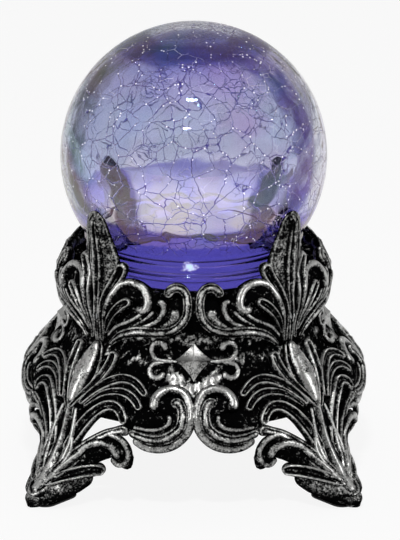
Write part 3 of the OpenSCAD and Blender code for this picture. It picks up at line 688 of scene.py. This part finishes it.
# %% The body behind the ornament
def turned(profile, turns, name, values_of=None, relief=None):
    """A closed ring of a profile (radius, height) turned round the middle."""
    turn = np.linspace(0, 2 * np.pi, turns, endpoint=False)
    r = profile[None, :, 0] + (relief(turn[:, None], profile[None, :, 1]) if relief else 0)
    z = profile[None, :, 1] + 0 * r
    grid = np.stack([r * np.cos(turn)[:, None], r * np.sin(turn)[:, None], z], -1)
    rows, ring = grid.shape[:2]
    i, j = np.meshgrid(np.arange(rows), np.arange(ring), indexing="ij")
    i2, j2 = (i + 1) % rows, (j + 1) % ring
    faces = np.stack([i * ring + j, i2 * ring + j, i2 * ring + j2, i * ring + j2], -1).reshape(-1, 4)
    points = grid.reshape(-1, 3)
    tri = points[faces[:, :3]]
    if np.einsum("ij,ij->i", tri[:, 0], np.cross(tri[:, 1], tri[:, 2])).sum() < 0:
        faces = faces[:, ::-1]
    values = {key: (value(turn[:, None], z) + 0 * z).ravel() for key, value in (values_of or {}).items()}
    return grid_object(name, points * MM, faces, values)


def waves(turn, z, seed, count=60, low=3.0, high=8.0):
    """Hammer marks: a sum of plane waves of random heading round and up, a few mm long."""
    rng = np.random.default_rng(seed)
    total = 0 * (turn + z)
    for _ in range(count):
        heading, phase = rng.uniform(0, 2 * np.pi, 2)
        k = 2 * np.pi / rng.uniform(low, high)
        total = total + np.cos(np.round(k * math.cos(heading) * 62) * turn + k * math.sin(heading) * z + phase)
    return total / math.sqrt(count / 2)


body_back = 1.6
outer = panel_line[(panel_line[:, 0] >= 40.6) & (panel_line[:, 0] <= 96.2)]
outer = outer[:, ::-1] - np.array([body_back, 0])
shell = np.vstack([
    outer[::2],
    [(57.4, 96.9), (55.5, 97.0), (51.0, 96.8), (49.4, 96.2), (49.2, 95), (49.2, 90.1), (48.9, 90.0),
     (41.7, 90.0), (41.5, 89.9), (41.5, 87.9), (41.3, 87.8), (39.2, 87.8), (39.0, 87.6), (39.0, 86.1),
     (39.2, 86.0), (56.6, 86.0), (57.0, 85.6), (57.1, 76), (57.1, 66.5), (59, 62.5), (63.6, 55.5), (68, 50),
     (73, 45.2), (72.2, 41.2), (72.8, 40.6)]])


def body_relief(turn, z):
    """Hammered band: two swells round the waist, with marks that fade upward and stay on the outer wall."""
    band = ease((z - 52) / 6) * ease((84 - z) / 5)
    marks = 0.2 * waves(turn, z, 4, low=1.8, high=5.0)
    return marks * band + 0.9 * bump(z, 76.5, 3.4) + 0.7 * bump(z, 66.5, 2.8)


def body_rub(turn, z):
    """Silver sits on the swells and in a fan below each star; high hammer marks take more of it."""
    mark = 0.22 * waves(turn, z, 4, low=1.8, high=5.0) + 0.14 * waves(turn, z, 9, low=9, high=20)
    away = np.degrees(np.abs((turn + math.pi / 4) % (math.pi / 2) - math.pi / 4))
    fan = bump(z, 56.2 + 0.4 * away, 2.6) * ease((13 - away) / 4)
    swell = 0.62 * bump(z, 76.3, 3.6) + 0.34 * bump(z, 66.2, 3.0) + 0.85 * fan
    return np.clip(swell + mark * ease(swell * 4), 0, 1)


on_outside = np.arange(len(shell))[None] < len(outer[::2])
stand_shell = turned(shell, 620, "stand_shell", {"rub": body_rub},
                     lambda t, z: np.where(on_outside, body_relief(t, z), 0))
print("body shell:", len(stand_shell.data.polygons), "faces")

# %% [markdown]
# ## The globe
#
# Crackle glass is blown, dipped in water while hot so that its skin breaks, and blown a
# little more, which opens the cracks. Then it is fired again so that the cracks seal
# inside the wall. A metal vapour leaves the pale rainbow coat. The wall is one closed
# surface: outside up to the top, inside back down, and round under the neck's lip.

# %% The globe's wall
globe_r = 62.5
globe_z = 146.73
globe_wall = 3.8
neck_z = 91.5


def globe_outline(inset=0.0):
    """Radius and height of the glass from the neck's lip to the top: ring beads on the neck, then a sphere."""
    neck = through([(48.3 - inset, 92.4), (48.5 - inset, 94.2), (48.9 - inset, 95.4), (48.5 - inset, 96.8),
                    (48.4 - inset, 98.4), (49.2 - inset, 100.2), (50.8 - inset, 101.4),
                    (51.2 - inset, 103.0), (50.4 - inset, 104.6), (50.9 - inset, 106.4),
                    (51.7 - inset, 108.4), (51.2 - inset, 110.2), (50.7 - inset, 111.2)], 110)
    r = globe_r - inset
    start = math.asin((50.9 - inset) / r)
    polar = np.linspace(math.pi - start, 0.004, 190)
    ball = np.stack([r * np.sin(polar), globe_z + r * np.cos(polar)], -1)
    return np.vstack([neck, ball])


def facets(turn, z):
    """Crackle facets: a few smooth waves that tilt the inner wall by a degree or two."""
    return 0.055 * waves(turn, z, 21, low=7, high=16) * ease((z - 112) / 8) * ease((209 - z) / 10)


outside = globe_outline()
inside = globe_outline(globe_wall)[::-1]
lip = [(44.9, 91.7), (45.8, 91.5), (47.5, 91.5), (48.2, 91.8)]
glass_profile = np.vstack([outside, inside, lip])
wave_on = np.concatenate([np.zeros(len(outside)), np.ones(len(inside)), np.zeros(len(lip))])
glass_ball = turned(glass_profile, 144, "crackled_globe", {"inner": lambda t, z: wave_on[None] + 0 * z},
                    lambda t, z: facets(t, z) * wave_on[None])
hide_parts("glass_globe")
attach(glass_ball, "stand")
print("globe:", len(glass_ball.data.polygons), "faces")

# %% [markdown]
# ## Four corners
#
# Each mesh is turned about the middle while it is made, so every object keeps its place at the
# origin and rides the standing body.

# %% Put the castings at the four corners
corners = {"front_left": 225, "front_right": 315, "rear_right": 45, "rear_left": 135}
castings = [stand_shell]
for place, turn in corners.items():
    leg = leg_cast.mesh("casting_" + place, math.radians(turn))
    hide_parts("leg_" + place)
    scrolls = scroll_cast.mesh("scrolls_" + place, math.radians(turn))
    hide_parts("stand_body")
    castings += [leg, scrolls]
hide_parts("stand_body")
for piece in castings:
    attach(piece, "stand")
print("castings:", len(castings), "pieces,", sum(len(piece.data.polygons) for piece in castings), "faces")

# %% [markdown]
# ## Helpers for materials
#
# A material is a small net of nodes. These helpers add one node each to the material that is
# being made, and give back the socket that carries its result.

# %% Material helpers
def start(name):
    """A new material; the helpers below then add their nodes to it."""
    global tree, coords
    material = bpy.data.materials.new(name)
    material.use_nodes = True
    tree = material.node_tree
    coords = tree.nodes.new("ShaderNodeTexCoord").outputs["Object"]
    return material, tree.nodes["Principled BSDF"]


def socket_in(node, name, value):
    """Sets an input to a value, or links a socket to it."""
    if isinstance(value, (int, float, tuple)):
        node.inputs[name].default_value = value
    else:
        tree.links.new(value, node.inputs[name])


def mathnode(operation, *values, clamp=False):
    """One arithmetic step."""
    made = tree.nodes.new("ShaderNodeMath")
    made.operation = operation
    made.use_clamp = clamp
    for slot, value in enumerate(values):
        socket_in(made, slot, value)
    return made.outputs[0]


def times(*values):
    """The product of all the values."""
    product = values[0]
    for value in values[1:]:
        product = mathnode("MULTIPLY", product, value)
    return product


def noise(scale, detail=2.0, rough=0.5, distort=0.0, output=0):
    """Cloudy noise in the object's own space, about 0.5 on average."""
    made = tree.nodes.new("ShaderNodeTexNoise")
    for name, value in (("Scale", scale), ("Detail", detail), ("Roughness", rough), ("Distortion", distort),
                        ("Vector", coords)):
        socket_in(made, name, value)
    return made.outputs[output]


def remap(value, low, high, to_low=0.0, to_high=1.0, smooth=True):
    """Stretches low..high to to_low..to_high, with soft or straight ends."""
    made = tree.nodes.new("ShaderNodeMapRange")
    made.interpolation_type = "SMOOTHSTEP" if smooth else "LINEAR"
    for name, given in (("Value", value), ("From Min", low), ("From Max", high), ("To Min", to_low),
                        ("To Max", to_high)):
        socket_in(made, name, given)
    return made.outputs[0]


def blend(factor, a, b, kind="RGBA"):
    """a where the factor is 0 and b where it is 1."""
    made = tree.nodes.new("ShaderNodeMix")
    made.data_type = kind
    socket_in(made, "Factor", factor)
    sides = ("A", "B") if kind == "RGBA" else (4, 5)
    for side, given in zip(sides, (a, b)):
        socket_in(made, side, given)
    return made.outputs["Result"] if kind == "RGBA" else made.outputs[1]


def colour_steps(value, stops):
    """A colour ramp with stops (position, colour)."""
    made = tree.nodes.new("ShaderNodeValToRGB")
    tree.links.new(value, made.inputs[0])
    ramp = made.color_ramp
    while len(ramp.elements) < len(stops):
        ramp.elements.new(0.5)
    for element, (place, colour) in zip(ramp.elements, stops):
        element.position = place
        element.color = (*colour, 1)
    return made.outputs[0]


def attribute(name):
    """A value that the mesh carries on its points."""
    made = tree.nodes.new("ShaderNodeAttribute")
    made.attribute_name = name
    return made.outputs["Fac"]


def axes(vector):
    """The three parts of a vector."""
    made = tree.nodes.new("ShaderNodeSeparateXYZ")
    tree.links.new(vector, made.inputs[0])
    return made.outputs


def bump_of(value, strength, distance):
    """The normal of a fine relief."""
    made = tree.nodes.new("ShaderNodeBump")
    for name, given in (("Strength", strength), ("Distance", distance), ("Height", value)):
        socket_in(made, name, given)
    return made.outputs[0]


print("helpers ready")

# %% [markdown]
# ## Black paint, rubbed with silver
#
# The casting is sprayed black, then wiped with silver wax. A cloth reaches the rims and the upper
# sides first, skips the hollows, and catches small lumps in them. So the silver mask is the rub
# value of the points, less on claw tips and less on undersides, broken up by two sizes of noise.
# The loss on undersides is partly the cloth and partly painted shade under light from above.

# %% Material of the castings
casting_paint, shader = start("rubbed casting")
fine = noise(1150.0, rough=0.6)
tip = remap(axes(coords)["Z"], 0.116, 0.134, 1.0, 0.72, smooth=False)
normal = tree.nodes.new("ShaderNodeNewGeometry").outputs["Normal"]
# partly painted shade: downward faces hold less silver, as the cloth reaches them less and as shade under
# light from above
cloth_reach_and_painted_shade = remap(axes(normal)["Z"], -0.75, 0.35, 0.52, 1.0, smooth=False)
lumps = remap(noise(430.0, 3.0, 0.6, distort=0.8), 0.52, 0.70, 0.0, 0.62, smooth=False)
rubbed = mathnode("MAXIMUM", times(attribute("rub"), times(tip, cloth_reach_and_painted_shade)), lumps)
gain = mathnode("MULTIPLY_ADD", rubbed, 2.2, 0.25, clamp=True)
broad = times(mathnode("SUBTRACT", noise(260.0), 0.5), 1.1)
grit = mathnode("MULTIPLY_ADD", mathnode("SUBTRACT", fine, 0.5), 1.5, broad)
mask = remap(mathnode("MULTIPLY_ADD", grit, gain, rubbed), 0.26, 1.02)
black_paint = (0.0012, 0.0012, 0.0013, 1)
silver_wax = (0.43, 0.43, 0.42, 1)
socket_in(shader, "Base Color", blend(mathnode("POWER", mask, 1.5), black_paint, silver_wax))
socket_in(shader, "Metallic", times(mask, 0.85))
socket_in(shader, "Roughness", 0.29)
socket_in(shader, "Specular IOR Level", times(mask, 0.4))
socket_in(shader, "Normal", bump_of(fine, 0.35, 0.0004))
for piece in castings:
    piece.data.materials.append(casting_paint)
print("casting paint:", len(tree.nodes), "nodes")

# %% [markdown]
# ## Glass: colour by height
#
# The deep blue band at the crown is painted reflection of the violet lamp light in the top of the
# inner wall, and the deep violet band on the shoulder is painted lamp light from below. The middle is
# pale, and soft coat patches lie between.

# %% Glass colour
glass_paint, shader = start("crackle glass")
place = axes(coords)
height = remap(place["Z"], 0.0915, 0.2093, smooth=False)
lifted = mathnode("MULTIPLY_ADD", mathnode("SUBTRACT", noise(34.0), 0.5), 0.05, height)
# the stops from 0.84 to 0.97 are painted reflection: the violet lamp light seen in the crown
body_tint = colour_steps(lifted, [
    (0.30, (0.74, 0.75, 0.87)), (0.50, (0.70, 0.74, 0.88)), (0.74, (0.60, 0.64, 0.80)),
    (0.84, (0.60, 0.55, 0.78)), (0.90, (0.36, 0.33, 0.70)), (0.97, (0.58, 0.60, 0.88)),
    (1.0, (0.70, 0.73, 0.84))])
cool_to_rosy = blend(remap(place["X"], -0.03, 0.03), (0.42, 0.50, 0.74, 1), (0.62, 0.44, 0.72, 1))
body_tint = blend(remap(noise(26.0), 0.5, 0.68, 0.0, 0.45), body_tint, cool_to_rosy)
print("colour by height done")

# %% [markdown]
# ## Glass: the rim and the deep bands
#
# A thick wall looks clear at its outline, with a dark line just inside, because there the view runs
# along the wall. Here both are painted into the colour: a painted reflection at the outline, a painted
# shade line inside it, and painted shade that darkens the globe towards its sides. The line is
# green-grey on one side of the globe and violet on the other.

# %% Glass rim and bands
facing = tree.nodes.new("ShaderNodeLayerWeight")
facing.inputs["Blend"].default_value = 0.5
facing = facing.outputs["Facing"]
rounding = mathnode("ADD", facing, remap(place["X"], -0.03, 0.03, 0.0, 0.13))
# painted shade: the globe darkens towards its sides
body_tint = blend(remap(facing, 0.06, 0.50, 0.0, 0.5), body_tint, (0.44, 0.47, 0.66, 1))
# painted shade: a dark line just inside the outline, broken by streaks
painted_outline_shade = times(remap(rounding, 0.47, 0.56), remap(rounding, 0.76, 0.68), remap(place["Z"], 0.203, 0.190))
outline_shade_tint = blend(remap(place["X"], -0.03, 0.03), (0.012, 0.018, 0.024, 1), (0.05, 0.035, 0.22, 1))
streaks = remap(noise(55.0, 3.0, 0.6, distort=1.2), 0.36, 0.56, 0.55, 1.0)
body_tint = blend(times(painted_outline_shade, streaks), body_tint, outline_shade_tint)
# painted reflection: the outline shows the room, darker grey on the left and pale near the top
outline_reflection_tint = blend(remap(place["X"], -0.045, 0.0), (0.27, 0.30, 0.31, 1), (0.48, 0.48, 0.58, 1))
outline_reflection_tint = blend(remap(place["Z"], 0.180, 0.200), outline_reflection_tint, (0.84, 0.86, 0.94, 1))
body_tint = blend(remap(rounding, 0.66, 0.76), body_tint, outline_reflection_tint)
# painted lamp light: a deep violet band low on the bowl
body_tint = blend(remap(lifted, 0.312, 0.290), body_tint, (0.125, 0.11, 0.42, 1))
# painted reflection: the violet lamp light as a deep blue band at the crown
crown_reflection = times(remap(lifted, 0.893, 0.912), remap(lifted, 0.970, 0.956))
body_tint = blend(times(crown_reflection, 0.94), body_tint, (0.02, 0.03, 0.22, 1))
print("rim and bands done")

# %% [markdown]
# ## Glass: the cracks
#
# Cooling skin breaks into cells, so the crack lines are the borders of jittered cells, bent by
# noise. Big cells cover the globe, and a finer net fills busy patches, crown and shoulder. The
# cracks are only on the outside, and the neck has none because it was never dipped.

# %% Glass cracks
bent = blend(0.0035, coords, noise(120.0, 3.0, 0.6, output="Color"), kind="VECTOR")
inner = attribute("inner")
on_skin = mathnode("SUBTRACT", 1.0, inner)
above_neck = remap(place["Z"], 0.113, 0.120)


def crack_lines(scale, width):
    """1 on the borders of jittered cells and 0 away from them."""
    made = tree.nodes.new("ShaderNodeTexVoronoi")
    made.feature = "DISTANCE_TO_EDGE"
    socket_in(made, "Scale", scale)
    socket_in(made, "Vector", bent)
    return remap(made.outputs["Distance"], width, width * 0.25)


broken = noise(60.0)
cracks = times(crack_lines(88.0, 0.017), remap(broken, 0.28, 0.42))
near_ends = mathnode("MAXIMUM", remap(place["Z"], 0.185, 0.200), remap(place["Z"], 0.136, 0.122))
busy = remap(mathnode("MULTIPLY_ADD", near_ends, 0.14, broken), 0.56, 0.68)
fine_cracks = times(crack_lines(190.0, 0.024), busy)
cracks = times(mathnode("MAXIMUM", cracks, fine_cracks), above_neck, on_skin)
socket_in(shader, "Base Color", blend(cracks, body_tint, (0.03, 0.02, 0.26, 1)))
socket_in(shader, "Normal", bump_of(cracks, 0.55, 0.0004))
print("cracks done")

# %% [markdown]
# ## Glass: chips, painted glints and the painted lamp spot
#
# A chip stands open here and there along a crack, and the light it catches is painted on as a
# glowing white dot; short runs of a crack get painted glints as fine lines. The lamp's light in the
# neck is painted on as one ragged glowing spot.

# %% Glass sparkle
chips = tree.nodes.new("ShaderNodeTexVoronoi")
socket_in(chips, "Scale", 620.0)
socket_in(chips, "Vector", coords)
lucky = tree.nodes.new("ShaderNodeSeparateColor")
tree.links.new(chips.outputs["Color"], lucky.inputs[0])
along_cracks = times(crack_lines(88.0, 0.05), on_skin, above_neck)
# painted highlight: white dots glow at chips along the cracks
painted_chip_glints = times(remap(chips.outputs["Distance"], 0.30, 0.18), remap(lucky.outputs[0], 0.46, 0.50), along_cracks)
# painted glints: short runs of the crack lines glow
glints = times(crack_lines(150.0, 0.010), remap(noise(75.0), 0.58, 0.66),
               mathnode("MULTIPLY_ADD", near_ends, 0.6, 0.35), times(on_skin, above_neck))
spot = tree.nodes.new("ShaderNodeVectorMath")
spot.operation = "DISTANCE"
spot.inputs[1].default_value = (-0.0015, -0.0515, 0.1085)
tree.links.new(coords, spot.inputs[0])
ragged = mathnode("MULTIPLY_ADD", mathnode("SUBTRACT", noise(420.0), 0.5), 0.006, spot.outputs["Value"])
# painted lamp light: a ragged glowing spot in the neck
painted_lamp_spot = times(remap(ragged, 0.0036, 0.0010), on_skin)
sparkle = mathnode("MAXIMUM", mathnode("MAXIMUM", painted_chip_glints, times(glints, 0.8)), painted_lamp_spot)
print("sparkle done")

# %% [markdown]
# ## Glass: coat and painted glow
#
# The coat is a film a few hundred nanometres thick, which gives the oily colours in the
# highlights. Lamp light caught in the bowl is painted on the inner wall as a glow, seen from the
# hollow side only. The claws stand close behind the bowl, so the painted glow is cut back at the
# four corners as painted shade.

# %% Glass coat and glow
shader.inputs["Transmission Weight"].default_value = 1.0
shader.inputs["Metallic"].default_value = 0.0
shader.inputs["IOR"].default_value = 1.5
shader.inputs["Roughness"].default_value = 0.03
film = remap(noise(18.0, 3.0, distort=0.6), 0.3, 0.7, 230.0, 470.0, smooth=False)
socket_in(shader, "Thin Film Thickness", film)
shader.inputs["Thin Film IOR"].default_value = 1.62
back_side = tree.nodes.new("ShaderNodeNewGeometry").outputs["Backfacing"]
hollow_side = times(inner, mathnode("SUBTRACT", 1.0, back_side))
off_corner = mathnode("ABSOLUTE", mathnode("SUBTRACT", mathnode("ABSOLUTE", place["X"]),
                                           mathnode("ABSOLUTE", place["Y"])))
# painted lamp light: the inner wall glows, with painted shade behind the claws and inside the outline
painted_bowl_glow = times(hollow_side, remap(place["Z"], 0.136, 0.110, 0.0, 0.74),
                  remap(off_corner, 0.008, 0.014, 0.12, 1.0), mathnode("SUBTRACT", 1.0, painted_outline_shade))
painted_glow_tint = blend(remap(noise(30.0), 0.42, 0.6), (0.66, 0.64, 0.98, 1), (0.98, 0.90, 0.80, 1))
sparkle_tint = blend(painted_lamp_spot, (1, 1, 1, 1), (0.62, 0.86, 1.0, 1))
socket_in(shader, "Emission Color", blend(sparkle, painted_glow_tint, sparkle_tint))
socket_in(shader, "Emission Strength", mathnode("MAXIMUM", painted_bowl_glow, times(sparkle, 0.9)))
glass_ball.data.materials.append(glass_paint)
print("glass:", len(tree.nodes), "nodes")

# %% [markdown]
# ## A shared effect
#
# Every small part has been handled: soft patches are a little duller, and a fine grain lies over
# all. That is one node group with its settings as inputs, so each finish only sets its own sizes.

# %% A shared effect: handling wear
def wear_group():
    """Node group: a soft mask of handled places, a fine grain value and the normal of that grain."""
    global tree, coords
    tree = bpy.data.node_groups.new("handling wear", "ShaderNodeTree")
    number, vector = "NodeSocketFloat", "NodeSocketVector"
    for name, kind, given in (("Patch Scale", number, 60.0), ("Grain Scale", number, 900.0),
                              ("Grain Height", number, 0.0001), ("Stretch", vector, (1, 1, 1))):
        tree.interface.new_socket(name, in_out="INPUT", socket_type=kind).default_value = given
    for name, kind in (("Mask", number), ("Grain", number), ("Normal", vector)):
        tree.interface.new_socket(name, in_out="OUTPUT", socket_type=kind)
    enter, leave = tree.nodes.new("NodeGroupInput"), tree.nodes.new("NodeGroupOutput")
    stretch = tree.nodes.new("ShaderNodeVectorMath")
    stretch.operation = "MULTIPLY"
    socket_in(stretch, 0, tree.nodes.new("ShaderNodeTexCoord").outputs["Object"])
    socket_in(stretch, 1, enter.outputs["Stretch"])
    coords = stretch.outputs[0]
    grain = noise(enter.outputs["Grain Scale"])
    socket_in(leave, "Mask", remap(noise(enter.outputs["Patch Scale"]), 0.42, 0.68))
    socket_in(leave, "Grain", grain)
    socket_in(leave, "Normal", bump_of(grain, 1.0, enter.outputs["Grain Height"]))
    return tree


wear = wear_group()


def finish_of(name, clean, handled, rough=(0.35, 0.55), metal=0.0, **settings):
    """A material whose colour and roughness move from clean to handled with the wear mask."""
    material, shader = start(name)
    used = tree.nodes.new("ShaderNodeGroup")
    used.node_tree = wear
    for key, value in settings.items():
        used.inputs[key.replace("_", " ").title()].default_value = value
    socket_in(shader, "Base Color", blend(used.outputs["Mask"], (*clean, 1), (*handled, 1)))
    socket_in(shader, "Roughness", remap(used.outputs["Mask"], 0, 1, *rough, smooth=False))
    socket_in(shader, "Normal", used.outputs["Normal"])
    shader.inputs["Metallic"].default_value = metal
    return material, shader


def dress(material, *names):
    """Gives working-model pieces their material."""
    for name in names:
        nodes[name].data.materials.clear()
        nodes[name].data.materials.append(material)
    print(material.name + ":", ", ".join(names))

# %% [markdown]
# ## Lamp parts
#
# Three violet lamps stand on a round board and shine up through a milky disc. The disc glows
# all over, and that is the light in the neck. A resistor with colour rings limits the current.

# %% Lamp parts
lit, shader = finish_of("lit diffuser", (0.60, 0.56, 0.90), (0.66, 0.62, 0.92), (0.55, 0.7),
    grain_scale=1600.0)
socket_in(shader, "Emission Color", (0.70, 0.66, 1.0, 1))
socket_in(shader, "Emission Strength", 0.70)
dress(lit, "light_diffuser")
resin, shader = finish_of("lamp resin", (0.62, 0.52, 1.0), (0.70, 0.62, 1.0), (0.05, 0.12),
    grain_scale=200.0, grain_height=0.00001)
shader.inputs["Transmission Weight"].default_value = 0.6
socket_in(shader, "Emission Color", (0.35, 0.22, 1.0, 1))
socket_in(shader, "Emission Strength", 2.0)
dress(resin, "led_1", "led_2", "led_3")
board, shader = finish_of("board laminate", (0.80, 0.82, 0.78), (0.68, 0.70, 0.66), (0.3, 0.45),
    patch_scale=150.0)
dress(board, "led_board")
resistor_coat = (0.62, 0.50, 0.32)
resistor, shader = finish_of("resistor coat", resistor_coat, (0.50, 0.40, 0.26), (0.35, 0.5))
brown, ink, gold = (0.30, 0.10, 0.03), (0.02, 0.02, 0.02), (0.55, 0.38, 0.08)
rings = zip((0.0, 0.18, 0.28, 0.38, 0.48, 0.58, 0.68, 0.80, 0.90),
            (resistor_coat, brown, resistor_coat, ink, resistor_coat, brown, resistor_coat, gold,
            resistor_coat))
along = remap(axes(coords)["X"], -0.003, 0.003, smooth=False)
socket_in(shader, "Base Color", colour_steps(along, list(rings)))
dress(resistor, "led_resistor")

# %% [markdown]
# ## Plastic, rubber and felt
#
# The tray, the door and the switch knob are black moulded plastic with a fine spark texture that
# hides scratches. The gasket is soft and milky, and felt pads keep the feet off the table.

# %% Plastic, rubber and felt
plastic, shader = finish_of("moulded plastic", (0.014, 0.014, 0.016), (0.030, 0.030, 0.033), (0.38, 0.58),
                            grain_scale=2600.0, grain_height=0.00006)
dress(plastic, "lamp_tray", "battery_door", "switch_knob")
rubber, shader = finish_of("gasket rubber", (0.66, 0.66, 0.68), (0.54, 0.54, 0.58), (0.5, 0.7),
    grain_scale=1400.0)
dress(rubber, "globe_gasket")
felt, shader = finish_of("foot felt", (0.010, 0.010, 0.011), (0.026, 0.026, 0.028), (0.85, 1.0),
                         grain_scale=3200.0, grain_height=0.0003, stretch=(1, 1, 0.3))
socket_in(shader, "Sheen Weight", 0.08)
dress(felt, *["foot_pad_" + place for place in corners])

# %% [markdown]
# ## Metal
#
# Screws are bright zinc. Springs and plates are nickel, which stays clean where the cells press.
# The switch sits in a folded steel shell.

# %% Metal
steel, shader = finish_of("zinc screw", (0.62, 0.63, 0.64), (0.40, 0.41, 0.42), (0.24, 0.42), metal=1.0,
                          grain_scale=1900.0, grain_height=0.00004)
dress(steel, "leg_screws", "tray_screws", "board_screws", "switch_screws")
nickel, shader = finish_of("nickel spring", (0.72, 0.70, 0.66), (0.50, 0.47, 0.42), (0.16, 0.34), metal=1.0,
    patch_scale=240.0)
dress(nickel, "battery_spring_1", "battery_spring_2", "battery_spring_3", "contact_plus", "contact_minus",
      "contact_bridge_left", "contact_bridge_right")
can, shader = finish_of("switch shell", (0.56, 0.56, 0.55), (0.36, 0.36, 0.35), (0.28, 0.46), metal=1.0,
    stretch=(0.15, 1, 1))
dress(can, "switch_body")

# %% [markdown]
# ## Cells and wires
#
# Each cell has a black jacket with a copper-coloured end that marks its plus pole. The middle cell
# lies the other way round, so that the three are joined in a row.

# %% Cells and wires
steel_end, jacket_black, copper_band = (0.55, 0.55, 0.55), (0.012, 0.012, 0.013), (0.56, 0.30, 0.10)
for cell, way in (("battery_1", 1), ("battery_2", -1), ("battery_3", 1)):
    jacket, shader = finish_of("jacket of " + cell, (0.02, 0.02, 0.02), (0.05, 0.05, 0.05), (0.22, 0.34),
        grain_height=0.00002)
    along = remap(times(axes(coords)["X"], float(way)), -0.026, 0.026, smooth=False)
    label = colour_steps(along, [(0.0, steel_end), (0.14, jacket_black), (0.66, copper_band),
        (0.96, steel_end)])
    label.node.color_ramp.interpolation = "CONSTANT"
    socket_in(shader, "Base Color", label)
    shader.inputs["Metallic"].default_value = 0.4
    dress(jacket, cell)
red, shader = finish_of("red wire", (0.42, 0.02, 0.02), (0.32, 0.02, 0.02), (0.35, 0.5), grain_height=0.00003)
dress(red, "wire_red")
black, shader = finish_of("black wire", (0.012, 0.012, 0.012), (0.03, 0.03, 0.03), (0.35, 0.5),
    grain_height=0.00003)
dress(black, "wire_black")

# %% [markdown]
# ## Finish
#
# The last lamps get their flags, and the scene is handed over.

# %% Finish
flag_off(low_window, [glass_ball])
for lamp in (left_lamp, right_lamp, key_lamp, back_lamp):
    flag_off(lamp, castings)
